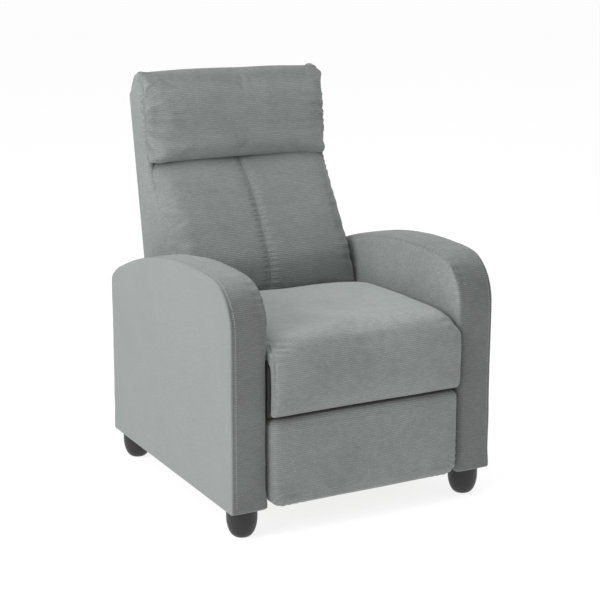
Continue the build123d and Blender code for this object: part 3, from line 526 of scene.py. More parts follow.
# ---- Arm frame ----
# Plywood panels on both faces of softwood posts, sill and crown strip, glued and stapled. Only
# their lower edges show, from under the chair.
grain_of_wood, inside, outside = start_group(
    "timber grain",
    (("Place", "NodeSocketVector", None), ("Ring", "NodeSocketFloat", 30.0)),
    (("Grain", "NodeSocketFloat"), ("Pore", "NodeSocketFloat")),
)
along_grain = {0: inside.outputs["Place"], 1: (1.0, 0.12, 1.0)}
stretch = put(grain_of_wood, "ShaderNodeVectorMath", along_grain, operation="MULTIPLY")
ring_figure = {"Vector": stretch.outputs[0], "Scale": inside.outputs["Ring"]}
ring_figure |= {"Detail": 5.0, "Distortion": 1.2}
warp = put(grain_of_wood, "ShaderNodeTexNoise", ring_figure)
pore = put(grain_of_wood, "ShaderNodeTexNoise", {"Vector": stretch.outputs[0], "Scale": 700.0, "Detail": 2.0})
grain_of_wood.links.new(warp.outputs["Fac"], outside.inputs["Grain"])
grain_of_wood.links.new(pore.outputs["Fac"], outside.inputs["Pore"])


def timber(name, pale, dark, ring=30.0, rough=0.62):
    """Sawn wood: rings mix two browns, pores roughen it."""
    made, tree, shader = blank_material(name)
    place = put(tree, "ShaderNodeTexCoord").outputs["Object"]
    figure = put(tree, "ShaderNodeGroup", node_tree=grain_of_wood)
    figure.inputs["Ring"].default_value = ring
    tree.links.new(place, figure.inputs["Place"])
    ramp = put(tree, "ShaderNodeValToRGB", {"Fac": figure.outputs["Grain"]})
    ramp.color_ramp.elements[0].position, ramp.color_ramp.elements[0].color = 0.36, (*dark, 1)
    ramp.color_ramp.elements[1].position, ramp.color_ramp.elements[1].color = 0.62, (*pale, 1)
    tree.links.new(ramp.outputs["Color"], shader.inputs["Base Color"])
    pores = figure.outputs["Pore"]
    raised = put(tree, "ShaderNodeBump", {"Strength": 0.4, "Distance": 0.0004, "Height": pores})
    tree.links.new(raised.outputs[0], shader.inputs["Normal"])
    shader.inputs["Roughness"].default_value = rough
    return made


def dress(names, material):
    """Gives CAD nodes their finish."""
    for each in names:
        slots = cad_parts[each].material_slots
        for slot in slots:
            slot.material = material


plywood = timber("sanded plywood", (0.56, 0.40, 0.24), (0.40, 0.26, 0.14), ring=22.0)
softwood = timber("planed softwood", (0.62, 0.46, 0.28), (0.46, 0.30, 0.16), ring=38.0)
dress([f"arm_{face}_panel_{name}" for face in ("inner", "outer") for name, _ in SIDES], plywood)
dress([f"arm_rails_{name}" for name, _ in SIDES], softwood)


# ---- Feet ----
# Four turned-looking cups, injection moulded in black plastic with a satin skin, each screwed up
# into the sill of an arm on a steel stud.
moulded, tree, shader = blank_material("satin black plastic")
place = put(tree, "ShaderNodeTexCoord").outputs["Object"]
skin = put(tree, "ShaderNodeTexNoise", {"Vector": place, "Scale": 1400.0, "Detail": 2.0})
scuff = put(tree, "ShaderNodeTexNoise", {"Vector": place, "Scale": 60.0, "Detail": 4.0, "Roughness": 0.6})
height = put(tree, "ShaderNodeSeparateXYZ", {0: place})
low_down = put(tree, "ShaderNodeMapRange", {"Value": height.outputs["Z"], "From Min": 0.012, "From Max": 0.0})
worn = sums(tree, "MULTIPLY", low_down.outputs[0], scuff.outputs["Fac"])
plastic_tone = put(tree, "ShaderNodeMapRange", {"Value": worn, "To Min": 0.010, "To Max": 0.036})
tree.links.new(plastic_tone.outputs[0], shader.inputs["Base Color"])
satin = put(tree, "ShaderNodeMapRange", {"Value": scuff.outputs["Fac"], "To Min": 0.38, "To Max": 0.55})
tree.links.new(satin.outputs[0], shader.inputs["Roughness"])
raised = put(tree, "ShaderNodeBump", {"Strength": 0.15, "Distance": 0.0002, "Height": skin.outputs["Fac"]})
tree.links.new(raised.outputs[0], shader.inputs["Normal"])
dress([f"foot_{place_name}_{name}" for place_name in ("front", "rear") for name, _ in SIDES], moulded)


# ---- Steel mechanism ----
# Flat links and plates stamped from strip steel, square cross tubes, all powder coated black and
# worn bright where they rub. Rivets, bolts and studs are zinc plated.
wear, inside, outside = start_group(
    "metal wear",
    (("Place", "NodeSocketVector", None),),
    (("Patch", "NodeSocketFloat"), ("Peel", "NodeSocketFloat")),
)
wear_place = inside.outputs["Place"]
rub_figure = {"Vector": wear_place, "Scale": 55.0, "Detail": 6.0, "Roughness": 0.65}
rubbed = put(wear, "ShaderNodeTexNoise", rub_figure)
picked = put(wear, "ShaderNodeMapRange", {"Value": rubbed.outputs["Fac"], "From Min": 0.58, "From Max": 0.72})
peel = put(wear, "ShaderNodeTexNoise", {"Vector": inside.outputs["Place"], "Scale": 1600.0, "Detail": 1.0})
wear.links.new(picked.outputs[0], outside.inputs["Patch"])
wear.links.new(peel.outputs["Fac"], outside.inputs["Peel"])


def metal(name, colour, worn_colour, rough, worn_rough, metallic, bump=0.12):
    """Coated or plated steel: patches of wear change colour and gloss, orange peel lifts it."""
    made, tree, shader = blank_material(name)
    place = put(tree, "ShaderNodeTexCoord").outputs["Object"]
    marks = put(tree, "ShaderNodeGroup", node_tree=wear)
    tree.links.new(place, marks.inputs["Place"])
    coats = {"Factor": marks.outputs["Patch"], 6: (*colour, 1), 7: (*worn_colour, 1)}
    mix = put(tree, "ShaderNodeMix", coats, data_type="RGBA")
    tree.links.new(mix.outputs[2], shader.inputs["Base Color"])
    patch = marks.outputs["Patch"]
    gloss = put(tree, "ShaderNodeMapRange", {"Value": patch, "To Min": rough, "To Max": worn_rough})
    tree.links.new(gloss.outputs[0], shader.inputs["Roughness"])
    peel = marks.outputs["Peel"]
    raised = put(tree, "ShaderNodeBump", {"Strength": bump, "Distance": 0.0002, "Height": peel})
    tree.links.new(raised.outputs[0], shader.inputs["Normal"])
    shader.inputs["Metallic"].default_value = metallic
    return made


black_coat = metal("black powder coat", (0.028, 0.028, 0.030), (0.075, 0.075, 0.078), 0.42, 0.30, 0.0)
zinc = metal("zinc plating", (0.55, 0.55, 0.53), (0.42, 0.42, 0.41), 0.30, 0.45, 1.0)
spring_steel = metal("oiled spring wire", (0.30, 0.30, 0.31), (0.20, 0.19, 0.18), 0.28, 0.42, 1.0)
for name, _ in SIDES:
    for part in ("base_plate", "front_lift_link", "rear_lift_link", "side_plate"):
        dress([f"{part}_{name}"], black_coat)
    for part in ("front_link", "rear_link", "lower_arm", "upper_arm", "bracket"):
        dress([f"footrest_{part}_{name}"], black_coat)
dress([f"back_bracket_{name}" for name, _ in SIDES], black_coat)
dress(["base_cross_tubes", "carriage_tube_front", "carriage_tube_rear", "footrest_drive_tube"], black_coat)
dress(["arm_bolts", "seat_frame_bolts", "footrest_bolts", "back_bolts", "foot_studs", "spring_clips"], zinc)
dress(["base_rivets", "carriage_rivets", "front_link_rivets", "rear_link_rivets", "footrest_rivets"], zinc)


# ---- Seat frame ----
# Softwood rails and a plywood front board on the flanges of the side plates, with zigzag springs
# from front to rear.
dress(["seat_frame_rails"], softwood)
dress(["seat_front_board"], plywood)
dress(["seat_springs"], spring_steel)


# ---- Seat cushion ----
# One foam slab rolled over the front board, in a cover whose front panel is mitred to the side
# panels at the top corners. It is crowned from side to side and falls to the back.
def inflate(piece, let_move, cap, pressure=4.0, frames=20):
    """Blows the cover up like a bag for a few frames, then keeps that shape. let_move(x, y, z, n) is
    how freely each point may follow, and no point goes further than cap."""
    before, normals = points_of(piece), normals_of(piece)
    cloth = piece.modifiers.new("blown up", "CLOTH")
    cloth.settings.quality = 6
    cloth.settings.mass = 0.3
    cloth.settings.tension_stiffness = cloth.settings.compression_stiffness = 18
    cloth.settings.shear_stiffness = 8
    cloth.settings.bending_stiffness = 0.6
    cloth.settings.use_pressure = True
    cloth.settings.uniform_pressure_force = pressure
    cloth.settings.effector_weights.gravity = 0
    cloth.collision_settings.use_collision = False
    cloth.point_cache.frame_start, cloth.point_cache.frame_end = 1, frames
    for number in range(1, frames + 1):
        bpy.context.scene.frame_set(number)
    blown = piece.evaluated_get(bpy.context.evaluated_depsgraph_get()).data
    after = np.empty(len(blown.vertices) * 3, np.float32)
    blown.vertices.foreach_get("co", after)
    after = after.reshape(-1, 3).astype(float)
    piece.modifiers.clear()
    bpy.context.scene.frame_set(1)
    move = after - before
    length = np.linalg.norm(move, axis=1, keepdims=True)
    kept = cap * np.tanh(length / cap) / np.maximum(length, 1e-9)
    set_points(piece, before + move * kept * let_move(*before.T, normals)[:, None])


def swept(name, loop, half, edge, rows=60, bow=None, edge_rows=8):
    """A closed profile carried across the chair. Within edge of each side the profile shrinks along
    a quarter circle; bow(u, x) moves the skin inwards, in metres, to shape it from side to side."""
    turn = np.linspace(0, np.pi / 2, edge_rows)
    right = half - edge + edge * np.sin(turn)
    flat_x = np.linspace(-(half - edge), half - edge, rows)
    xs = np.concatenate([-right[::-1], flat_x[1:-1], right])
    inset = edge * (1 - np.cos(turn))
    insets = np.concatenate([inset[::-1], np.zeros(rows - 2), inset])
    into = inward(loop)
    depth = insets[:, None] + (bow(loop, xs) if bow else 0.0)
    flat = loop[None] + into[None] * depth[..., None]
    rings = np.concatenate([np.broadcast_to(xs[:, None, None], flat.shape[:2] + (1,)), flat], -1)
    return closed_form(name, rings, ladder=False)


seat_low, seat_high = (np.array(c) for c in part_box("seat_cushion"))
nose = seat_low[1]
seat_rear = seat_high[1]
seat_top = seat_high[2]
apron = seat_low[2]
board_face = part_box("seat_front_board")[0][1]
spring_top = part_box("spring_clips")[1][2]
seat_profile = [
    (seat_rear, spring_top + 0.004),
    (seat_rear, seat_top - 0.050),
    (seat_rear - 0.012, seat_top - 0.032),
    (seat_rear - 0.08, seat_top - 0.016),
    (seat_rear - 0.20, seat_top - 0.006),
    (nose + 0.18, seat_top - 0.004),
    (nose + 0.09, seat_top - 0.006),
    (nose + 0.040, seat_top - 0.014),
    (nose + 0.016, seat_top - 0.034),
    (nose + 0.006, seat_top - 0.070),
    (nose + 0.006, seat_top - 0.110),
    (nose + 0.012, apron + 0.030),
    (nose + 0.018, apron + 0.008),
    (nose + 0.024, apron + 0.002),
    (board_face - 0.004, apron + 0.002),
    (board_face - 0.0030, apron + 0.010),
    (board_face - 0.0030, spring_top - 0.010),
    (board_face + 0.004, spring_top + 0.002),
    (board_face + 0.03, spring_top + 0.004),
]
seat_loop = smooth_loop(seat_profile, 250)
seat_half = 0.2512


def seat_bow(loop, xs):
    """The top is crowned: it falls towards the sides, most at the front corners."""
    share = np.abs(xs)[:, None] / seat_half
    y, z = loop[None, :, 0], loop[None, :, 1]
    top = step(z, seat_top - 0.06, seat_top - 0.02)
    face = (1 - step(y, nose + 0.02, nose + 0.05)) * step(z, apron + 0.01, apron + 0.06)
    corner = step(z, seat_top - 0.07, seat_top - 0.01) * (1 - step(y, nose + 0.03, nose + 0.11))
    return 0.014 * share**3 * top + 0.004 * share**4 * face + 0.006 * step(share, 0.82, 1.0) * corner


seat = swept("seat_cushion_cover", seat_loop, seat_half, 0.011, rows=62, bow=seat_bow)


def seat_free(x, y, z, n):
    """Only the top, the nose and the front may swell."""
    hidden = step(n[:, 1], 0.3, 0.8) * (y > nose + 0.02) + step(-n[:, 2], 0.2, 0.7)
    sides = step(np.abs(n[:, 0]), 0.5, 0.9)
    return np.clip(1 - hidden, 0, 1) * (1 - 0.9 * sides)


inflate(seat, seat_free, cap=0.007)
refine(seat)


def seat_detail(x, y, z, n):
    """Mitre seam at each top corner, a sewn hem above the lower edge, and soft hand-made unevenness."""
    side = np.abs(x)
    front = 1 - step(y, nose + 0.05, nose + 0.09)
    top = step(z, seat_top - 0.05, seat_top - 0.015)
    seam_x = seat_half - 0.007 - 0.25 * np.clip(z - (seat_top - 0.075), 0, 0.2) * front
    fades = step(z, apron + 0.012, apron + 0.03) * (1 - 0.75 * top * (y > nose + 0.09))
    seam = np.exp(-(((side - seam_x) / 0.0026) ** 2)) * fades
    puckers = np.sin(z * 420 + 2.2 * np.sin(z * 90 + x * 9))
    gathers = np.exp(-(((side - seam_x + 0.016) / 0.018) ** 2)) * puckers
    facing = step(-n[:, 1], 0.1, 0.7)
    hem = np.exp(-(((z - apron - 0.010) / 0.0026) ** 2)) * facing
    soft = 0.0019 * ripple(x * 13, (y - z) * 15, 3) + 0.0009 * ripple(x * 38, (y - z) * 36, 8)
    shown = np.clip(facing + step(n[:, 2], 0.1, 0.6), 0, 1)
    return soft * shown - 0.0010 * seam * shown + 0.0007 * gathers * facing - 0.0012 * hem


def seat_painted_light(x, y, z, n):
    """Painted light: the top is painted much lighter than the rest, and the front a little lighter."""
    return 1 + 0.56 * step(n[:, 2], 0.55, 0.96) + 0.10 * step(-n[:, 1], 0.5, 0.9)


press(seat, seat_detail)
lay_cloth(seat, seat_loop, seat_painted_light)
seat.data.materials.append(grey_fabric)
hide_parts("seat_cushion")
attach(seat, "carriage")

# Lining: thin black cloth stapled over the face of the front board and over the ends of the board
# and rails, so that no bare wood shows in the gaps beside the cushion.
lining, tree, shader = blank_material("black lining cloth")
place = put(tree, "ShaderNodeTexCoord").outputs["Object"]
mesh_weave = put(tree, "ShaderNodeTexNoise", {"Vector": place, "Scale": 800.0, "Detail": 2.0})
lining_weave = mesh_weave.outputs["Fac"]
lining_tone = put(tree, "ShaderNodeMapRange", {"Value": lining_weave, "To Min": 0.018, "To Max": 0.045})
tree.links.new(lining_tone.outputs[0], shader.inputs["Base Color"])
raised = put(tree, "ShaderNodeBump", {"Strength": 0.4, "Distance": 0.0003, "Height": lining_weave})
tree.links.new(raised.outputs[0], shader.inputs["Normal"])
shader.inputs["Roughness"].default_value = 0.9


def rounded_outline(half, low, high, low_bend, high_bend, count):
    """Upright rounded rectangle, as (x, z)."""
    corners = []
    for side, end, bend, start in (
        (1, low, low_bend, -90),
        (1, high, high_bend, 0),
        (-1, high, high_bend, 90),
        (-1, low, low_bend, 180),
    ):
        centre = (side * (half - bend), end + bend if end == low else end - bend)
        corners.append(arc_points(centre, bend, np.radians(np.linspace(start, start + 90, 14))))
    line = np.vstack(corners)
    line = np.vstack([line, line[:1]])
    run = np.concatenate([[0], np.cumsum(np.linalg.norm(np.diff(line, axis=0), axis=1))])
    at = np.linspace(0, run[-1], count, endpoint=False)
    return np.stack([np.interp(at, run, line[:, k]) for k in (0, 1)], 1)


flap_front, flap_rear = board_face - 0.0012, board_face + 0.10
flap_half = (flap_rear - flap_front) / 2
flap_loop = rounded_outline(flap_half, apron + 0.0005, spring_top + 0.012, 0.003, 0.003, 160)
flap_loop[:, 0] += (flap_front + flap_rear) / 2
flap_middle = flap_loop.mean(0)
flap_rows = ((0.2521, 0.5), (0.2521, 0.97), (0.2524, 1.0), (0.2529, 1.0), (0.2532, 0.97), (0.2532, 0.5))
for name, side in SIDES:
    flap_out = flap_loop - flap_middle
    rings = np.array([np.insert(flap_middle + flap_out * share, 0, side * x, axis=1) for x, share in flap_rows])
    flap = closed_form(f"seat_side_flap_{name}", rings)
    flap.data.materials.append(lining)
    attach(flap, "carriage")
face_loop = rounded_outline(0.2531, apron + 0.0005, spring_top - 0.004, 0.003, 0.003, 200)
face_middle = face_loop.mean(0)
rings = [
    np.insert(face_middle + (face_loop - face_middle) * share, 1, board_face - y, axis=1)
    for y, share in ((0.0004, 0.6), (0.0004, 0.998), (0.0010, 1.0), (0.0016, 0.998), (0.0016, 0.6))
]
board_lining = closed_form("front_board_lining", np.array(rings))
board_lining.data.materials.append(lining)
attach(board_lining, "carriage")

# A strip of the same cloth, stapled along the rear rail, closes the slot between seat and back.
rail_top, rail_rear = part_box("seat_frame_rails")[1][2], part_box("seat_frame_rails")[1][1]
strip_low, strip_high = rail_top + 0.0006, rail_top + 0.0018
strip_front, strip_rear = rail_rear - 0.0065, rail_rear + 0.057
strip_corners = [
    (strip_rear, strip_low),
    (strip_rear, strip_high),
    (strip_front, strip_high),
    (strip_front, strip_low),
]
strip_loop = smooth_loop(strip_corners, 60, rounds=2)
slot_strip = swept("seat_slot_lining", strip_loop, 0.2275, 0.0004, rows=12, edge_rows=3)
slot_strip.data.materials.append(lining)
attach(slot_strip, "carriage")


# ---- Footrest ----
# A plywood board with a thin foam pad, wrapped in the same cloth and stapled behind. The lower
# corners are rounded. It closes just under the seat's front edge.
dress(["footrest_board"], plywood)
pad_low, pad_high = (np.array(c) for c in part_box("footrest_pad"))
pad_half = 0.2500
pad_bottom, pad_top = pad_low[2], pad_high[2]
pad_face, pad_rear = pad_low[1], pad_high[1]


pad_loop = rounded_outline(pad_half, pad_bottom, pad_top, 0.032, 0.018, 230)
pad_in = inward(pad_loop)
pad_middle = np.array([0.0, (pad_bottom + pad_top) / 2])
pad_hollow = pad_loop + pad_in * 0.016 - pad_middle
rings = [np.insert(pad_middle + pad_hollow * s, 1, pad_rear - 0.016, axis=1) for s in (0.05, 0.4, 0.7, 0.9)]
turned_in = ((0.014, 0.016), (0.012, 0.001), (0.006, 0.0), (0.0015, 0.002))
rings += [np.insert(pad_loop + pad_in * inset, 1, pad_rear - y, axis=1) for inset, y in turned_in]
for y in np.linspace(pad_rear - 0.006, pad_face + 0.022, 6):
    rings.append(np.insert(pad_loop, 1, y, axis=1))
for a in np.linspace(0.2, np.pi / 2, 7):
    rolled = pad_loop + pad_in * 0.020 * (1 - np.cos(a))
    rings.append(np.insert(rolled, 1, pad_face + 0.022 - 0.017 * np.sin(a), axis=1))
for share in (0.96, 0.90, 0.82, 0.73, 0.63, 0.52, 0.41, 0.30, 0.21, 0.13):
    flat = pad_middle + (pad_loop + pad_in * 0.020 - pad_middle) * share
    upward = (flat[:, 1] - pad_middle[1]) * 2 / (pad_top - pad_bottom)
    dome = (1 - (flat[:, 0] / pad_half) ** 2) * (1 - upward**2)
    rings.append(np.insert(flat, 1, pad_face + 0.005 - 0.0065 * dome, axis=1))
footrest = closed_form("footrest_cover", np.array(rings))


refine(footrest)


def pad_detail(x, y, z, n):
    """Pulled cloth at the lower corners, and slack over the rest of the face."""
    facing = step(-n[:, 1], 0.1, 0.8)
    corner = np.exp(-(((pad_half - np.abs(x)) ** 2 + (z - pad_bottom) ** 2) / 0.07**2))
    angle = np.arctan2(z - pad_bottom - 0.05, pad_half - 0.05 - np.abs(x))
    pull = 0.0016 * np.sin(angle * 19) * corner
    soft = 0.0016 * ripple(x * 15, z * 17, 21) + 0.0007 * ripple(x * 42, z * 42, 22)
    return (soft + pull) * facing


press(footrest, pad_detail)
# Painted light: the front of the footrest is painted a little lighter than its other faces.
lay_cloth(footrest, nap_and_painted_light=lambda x, y, z, n: 1 + 0.08 * step(-n[:, 1], 0.5, 0.9))
footrest.data.materials.append(grey_fabric)
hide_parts("footrest_pad")
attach(footrest, "footrest")


# ---- Back frame ----
# Plywood side boards bolted to steel hinge brackets, four softwood cross rails, and woven elastic
# belts that carry the back cushion.
dress(["back_side_boards"], plywood)
dress(["back_rails"], softwood)
elastic, tree, shader = blank_material("woven elastic belt")
place = put(tree, "ShaderNodeTexCoord").outputs["Object"]
cord_figure = {"Vector": place, "Scale": 160.0, "Distortion": 0.2}
cords = put(tree, "ShaderNodeTexWave", cord_figure, bands_direction="Z")
picks = put(tree, "ShaderNodeTexWave", {"Vector": place, "Scale": 260.0}, bands_direction="X")
knit = sums(tree, "MULTIPLY", cords.outputs["Fac"], picks.outputs["Fac"])
belt_tone = put(tree, "ShaderNodeMapRange", {"Value": knit, "To Min": 0.03, "To Max": 0.16})
tree.links.new(belt_tone.outputs[0], shader.inputs["Base Color"])
raised = put(tree, "ShaderNodeBump", {"Strength": 0.6, "Distance": 0.0005, "Height": knit})
tree.links.new(raised.outputs[0], shader.inputs["Normal"])
shader.inputs["Roughness"].default_value = 0.85
dress(["back_webbing"], elastic)


# ---- Outer back ----
# A shallow upholstered tray closes the back from behind. Its rear panel is one smooth piece of
# cloth, sewn to a narrow border round the edge, and it hangs below the seat as a tail.
back_low, back_high = (np.array(c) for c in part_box("back_cover"))
back_rear, frame_top_z, tail = back_high[1], back_high[2], back_low[2]
lean = np.tan(np.radians(10.2))
back_half = 0.2500


def rear_at(z, forward=0.0):
    """y of the rear face at height z, moved forward."""
    return back_rear - forward - (frame_top_z - z) * lean


tray_depth = 0.019
skirt = 0.397
tray_rows = np.concatenate(
    [
        [tail, tail + 0.004],
        np.linspace(tail + 0.012, skirt - 0.004, 18),
        np.linspace(skirt + 0.006, frame_top_z - 0.014, 54),
        [frame_top_z - 0.006, frame_top_z - 0.0015, frame_top_z],
    ]
)
rings = []
for z in tray_rows:
    half = back_half - 0.001 if z > skirt else 0.2335
    pinch = 0.006 * np.clip((z - frame_top_z + 0.012) / 0.012, 0, 1) ** 2
    bend = 0.009
    border = []
    corners = ((half, 0.0, -90), (half, tray_depth, 0), (-half, tray_depth, 90), (-half, 0.0, 180))
    for cx, cy, start in corners:
        a = np.radians(np.linspace(start, start + 90, 7))
        middle_y = bend * 0.6 if cy == 0.0 else tray_depth - bend
        r = bend * 0.6 if cy == 0.0 else bend
        border.append(np.stack([cx - np.sign(cx) * r + r * np.cos(a), middle_y + r * np.sin(a)], 1))
    border = np.vstack(border)
    border = np.vstack([border, border[:1]])
    run = np.concatenate([[0], np.cumsum(np.linalg.norm(np.diff(border, axis=0), axis=1))])
    at = np.linspace(0, run[-1], 168, endpoint=False)
    flat = np.stack([np.interp(at, run, border[:, k]) for k in (0, 1)], 1)
    flat[:, 0] *= 1 - pinch / half
    flat[:, 1] = (flat[:, 1] - tray_depth / 2) * (1 - pinch / 0.02) + tray_depth / 2
    rings.append(np.column_stack([flat[:, 0], flat[:, 1] - tray_depth + rear_at(z), np.full(len(flat), z)]))
tray = closed_form("outer_back_cover", np.array(rings))


def tray_detail(x, y, z, n):
    """The rear cloth is tight but not flat: a slight crown, a sewn edge line and soft waves."""
    facing = step(n[:, 1], 0.3, 0.9)
    upright = step(z, tail, tail + 0.2) * (1 - step(z, frame_top_z - 0.12, frame_top_z))
    crown = 0.0030 * np.cos(np.clip(x / back_half, -1, 1) * np.pi / 2) * upright
    side_edge = np.exp(-(((np.abs(x) - back_half + 0.012) / 0.003) ** 2))
    edge = side_edge + np.exp(-(((z - frame_top_z + 0.012) / 0.003) ** 2))
    return facing * (crown - 0.0012 * edge + 0.0012 * ripple(x * 12, z * 12, 31))


press(tray, tray_detail)
lay_cloth(tray)
tray.data.materials.append(panel_fabric)
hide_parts("back_cover")
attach(tray, "back")

# Side bands: long boxing strips of cloth over thin foam, from below the arms to the top of the
# headrest. The front edge of each carries the seam of the back and headrest cushions.
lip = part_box("headrest")[0][2]
crown_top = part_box("headrest")[1][2]
seam_corners = [(0.166, 0.500), (0.176, 0.554), (0.228, 0.670), (0.288, lip), (0.300, 0.854), (0.308, 0.930)]
band_outline = (
    [(0.184, 0.398), (0.170, 0.440)]
    + seam_corners
    + [(0.315, 0.966), (0.330, 0.982), (0.350, 0.985), (0.370, 0.978), (0.383, 0.955)]
    + [(rear_at(z, tray_depth - 0.005), z) for z in (0.925, 0.90, 0.80, 0.70, 0.60, 0.50, 0.42)]
    + [(rear_at(0.398, tray_depth - 0.005), 0.398)]
)
band_loop = smooth_loop(band_outline, 300, rounds=2)
band_in = inward(band_loop)
band_thick = 0.0135


def toward_spine(loop, share):
    """Shrinks the strip towards the line up its own middle, not to one point."""
    z = loop[:, 1]
    rows = np.linspace(z.min() + 0.03, z.max() - 0.03, 60)
    front = np.array([loop[np.abs(z - r) < 0.012, 0].min() for r in rows])
    rear = np.array([loop[np.abs(z - r) < 0.012, 0].max() for r in rows])
    spine_z = np.clip(z, rows[0], rows[-1])
    spine = np.stack([np.interp(spine_z, rows, (front + rear) / 2), spine_z], 1)
    return spine + (loop - spine) * share


for name, side in SIDES:
    rings = []
    for share in (0.10, 0.5, 0.8):
        flat = toward_spine(band_loop + band_in * 0.004, share)
        rings.append(np.column_stack([np.full(len(flat), back_half - band_thick), flat]))
    for a in np.linspace(0, np.pi, 9):
        x = back_half - band_thick / 2 - np.cos(a) * band_thick / 2
        rounded = band_loop + band_in * 0.0045 * (1 - np.sin(a))
        rings.append(np.column_stack([np.full(len(band_loop), x), rounded]))
    for share in (0.93, 0.80, 0.62, 0.42, 0.22, 0.08):
        flat = toward_spine(band_loop + band_in * 0.0045, share)
        rings.append(np.column_stack([np.full(len(flat), back_half), flat]))
    rings = np.array(rings)
    rings[..., 0] *= side
    strip = closed_form(f"back_side_band_{name}", rings)
    refine(strip)

    def strip_detail(x, y, z, n, side=side):
        """Loose cloth: long soft waves, and small gathers where it meets the front seam."""
        facing = step(n[:, 0] * side, 0.2, 0.8)
        seam_y = np.interp(z, [c[1] for c in seam_corners], [c[0] for c in seam_corners])
        near = np.exp(-(((y - seam_y - 0.006) / 0.010) ** 2))
        gather = 0.0012 * np.sin(z * 380 + 3 * np.sin(z * 60)) * near * step(z, lip - 0.25, lip)
        soft = 0.0015 * ripple(y * 24, z * 16, 41 + side) + 0.0007 * ripple(y * 60, z * 50, 47 + side)
        return facing * (gather + soft)

    press(strip, strip_detail)
    lay_cloth(strip, band_loop)
    strip.data.materials.append(grey_fabric)
    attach(strip, "back")


# ---- Back cushion ----
# Fibre-filled cushion between the side seams, full at the loins, with a double-stitched seam up
# the middle. It runs up under the headrest, where a deep fold hides its top.
cushion_front = [
    (0.1160, 0.418),
    (0.1055, 0.432),
    (0.1035, 0.455),
    (0.1040, 0.490),
    (0.1080, 0.524),
    (0.1240, 0.556),
    (0.1450, 0.589),
    (0.1700, 0.632),
    (0.2000, 0.678),
    (0.2350, 0.720),
    (0.2680, 0.747),
    (0.2900, 0.762),
    (0.3100, 0.772),
]
cushion_back = [
    (0.3340, 0.772),
    (0.3120, 0.735),
    (0.2720, 0.670),
    (0.2250, 0.590),
    (0.2020, 0.520),
    (0.1900, 0.470),
    (0.1830, 0.440),
    (0.1700, 0.420),
]
cushion_loop = smooth_loop((cushion_front + cushion_back)[::-1], 230, rounds=2)
cushion_half = 0.2492


def cushion_bow(loop, xs):
    """Set back towards the side seams, and two full halves either side of the middle seam."""
    share = np.abs(xs)[:, None] / cushion_half
    y, z = loop[None, :, 0], loop[None, :, 1]
    facing = step(-inward(loop)[:, 0] * -1, -0.2, 0.6)[None]
    shoulder = 0.036 * (1 - np.sqrt(1 - np.clip((share - 0.80) / 0.2, 0, 1) ** 2)) * step(z, 0.44, 0.52)
    shoulder = shoulder * (1 - 0.65 * step(z, 0.70, 0.765))
    halves = -0.0050 * np.sin(np.pi * np.clip(share, 0, 1)) ** 0.8
    return (shoulder + halves) * facing


cushion = swept(
    "back_cushion_cover", cushion_loop, cushion_half, 0.008, rows=70, bow=cushion_bow, edge_rows=5
)


def cushion_free(x, y, z, n):
    """The front and the top may swell, but not the middle seam or the side seams."""
    seam = 1 - np.exp(-((x / 0.012) ** 2))
    return step(-n[:, 1] + 0.4 * n[:, 2], 0.0, 0.5) * seam * (1 - step(np.abs(x), 0.238, 0.248))


inflate(cushion, cushion_free, cap=0.0055)
refine(cushion)


def cushion_detail(x, y, z, n):
    """The middle seam pulls a narrow valley with small puckers. Drag lines run in from the sides."""
    facing = step(-n[:, 1], 0.1, 0.6)
    valley = -0.0019 * np.exp(-((x / 0.0080) ** 2)) - 0.0012 * np.exp(-((x / 0.0018) ** 2))
    pucker = 0.0008 * np.sin(z * 520 + 1.4 * np.sin(z * 130)) * np.exp(-(((np.abs(x) - 0.012) / 0.009) ** 2))
    near_side = np.exp(-(((cushion_half - np.abs(x)) / 0.045) ** 2))
    drag = 0.0010 * np.sin(z * 210 + x * 34 + 2 * np.sin(z * 47)) * near_side
    soft = 0.0022 * ripple(x * 14, z * 14, 61) + 0.0009 * ripple(x * 40, z * 38, 62)
    return facing * (valley + pucker + drag + soft)


press(cushion, cushion_detail)
lay_cloth(cushion, cushion_loop)
cushion.data.materials.append(grey_fabric)
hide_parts("back_cushion")
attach(cushion, "back")
front_line = np.array(cushion_front[2:-1])
for number, x in enumerate((-0.0042, 0.0042)):
    row_line = np.column_stack([np.full(len(front_line), x), front_line])
    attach(stitches(f"middle_seam_stitches_{number}", cushion, row_line), "back")


# ---- Headrest ----
# A fat fibre-filled roll across the top. Its cover is gathered into the side seams, so it puckers
# there, and its top corners stick out as little ears.
head_profile = [
    (0.318, lip - 0.001),
    (0.345, lip + 0.012),
    (0.352, lip + 0.08),
    (0.365, lip + 0.15),
    (0.372, crown_top - 0.040),
    (0.368, crown_top - 0.012),
    (0.345, crown_top - 0.001),
    (0.316, crown_top - 0.001),
    (0.288, crown_top - 0.012),
    (0.272, crown_top - 0.042),
    (0.263, crown_top - 0.085),
    (0.258, crown_top - 0.130),
    (0.256, crown_top - 0.170),
    (0.258, lip + 0.026),
    (0.264, lip + 0.004),
    (0.280, lip - 0.005),
]
head_loop = smooth_loop(head_profile, 200, rounds=2)
head_half = 0.2492


def head_bow(loop, xs):
    """The roll thins to the side seams, where its front meets the edge of the band."""
    share = np.abs(xs)[:, None] / head_half
    y, z = loop[None, :, 0], loop[None, :, 1]
    front = 1 - step(y, 0.315, 0.345)
    thin = 0.030 * (1 - np.sqrt(1 - np.clip((share - 0.86) / 0.14, 0, 1) ** 2)) * front
    top = step(z, crown_top - 0.05, crown_top - 0.01)
    low = 1 - step(z, lip + 0.005, lip + 0.03)
    return thin * (1 - 0.55 * top) * (1 - 0.75 * low) + 0.004 * share**4 * top


headrest = swept("headrest_cover", head_loop, head_half, 0.007, rows=72, bow=head_bow, edge_rows=5)


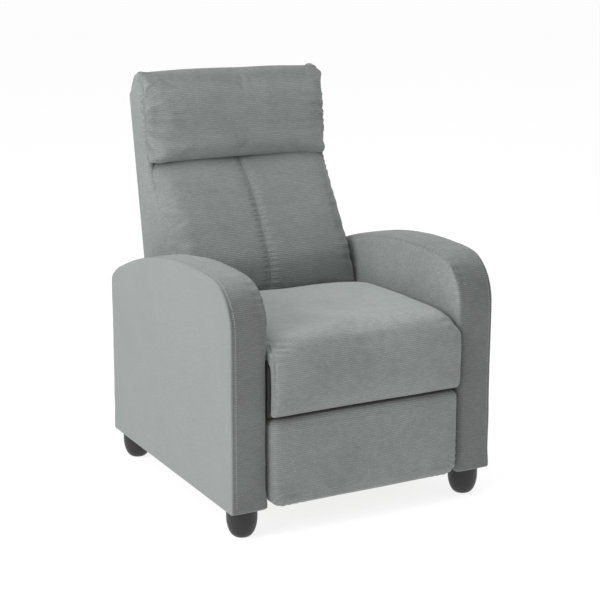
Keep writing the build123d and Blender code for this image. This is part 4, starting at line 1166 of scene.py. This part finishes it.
def head_free(x, y, z, n):
    """All but the rear and the side seams may swell."""
    return (1 - step(y, 0.31, 0.34)) * (1 - step(np.abs(x), 0.236, 0.247))


inflate(headrest, head_free, cap=0.008)
refine(headrest)


def head_detail(x, y, z, n):
    """Gathers: folds that start at the side seams and die out within a hand's breadth."""
    from_side = head_half - np.abs(x)
    angle = np.arctan2(z - 0.86, 0.33 - y)
    folds = np.sin(angle * 52 + 3.4 * np.sin(angle * 13 + np.sign(x)) + 30 * from_side)
    gather = 0.0015 * folds * np.exp(-((from_side / 0.030) ** 2)) * (1 - step(y, 0.32, 0.345))
    long_waves = np.sin(angle * 17 + 1.5 * np.sin(angle * 7 + 2 * np.sign(x)))
    long_folds = 0.0010 * long_waves * np.exp(-((from_side / 0.075) ** 2))
    ear = 0.005 * np.exp(-((from_side / 0.014) ** 2)) * step(z, crown_top - 0.05, crown_top - 0.02)
    soft = 0.0022 * ripple(x * 13, z * 15, 71) + 0.0009 * ripple(x * 38, (z + y) * 38, 72)
    front = 1 - step(y, 0.33, 0.36)
    return (gather + long_folds * front + ear + soft) * (1 - 0.9 * step(y, 0.345, 0.36))


def head_painted_light(x, y, z, n):
    """Painted light and shade: the top is painted darker, and the lower front of the roll painted lighter."""
    top = step(n[:, 2], 0.35, 0.85)
    low = (1 - step(z, lip + 0.03, lip + 0.10)) * step(-n[:, 1], 0.2, 0.8)
    return 1 - 0.26 * top + 0.22 * low


press(headrest, head_detail)
points = points_of(headrest)
points[:, 2] -= 0.010 * points[:, 0]
set_points(headrest, points)
lay_cloth(headrest, head_loop, head_painted_light)
headrest.data.materials.append(grey_fabric)
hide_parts("headrest")
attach(headrest, "back")

# A boxing strip closes the top, from behind the headrest to the outer back, over the ends of the
# side boards and the top rail.
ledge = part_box("back_side_boards")[1][2] + 0.0015
ledge_front, ledge_rear, ledge_top = 0.352, 0.402, ledge + 0.007
ledge_corners = [(ledge_rear, ledge), (ledge_rear, ledge_top), (ledge_front, ledge_top), (ledge_front, ledge)]
ledge_loop = smooth_loop(ledge_corners, 80, rounds=2)
top_strip = swept("back_top_strip", ledge_loop, 0.2430, 0.002, rows=40, edge_rows=4)
lay_cloth(top_strip, ledge_loop)
top_strip.data.materials.append(grey_fabric)
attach(top_strip, "back")
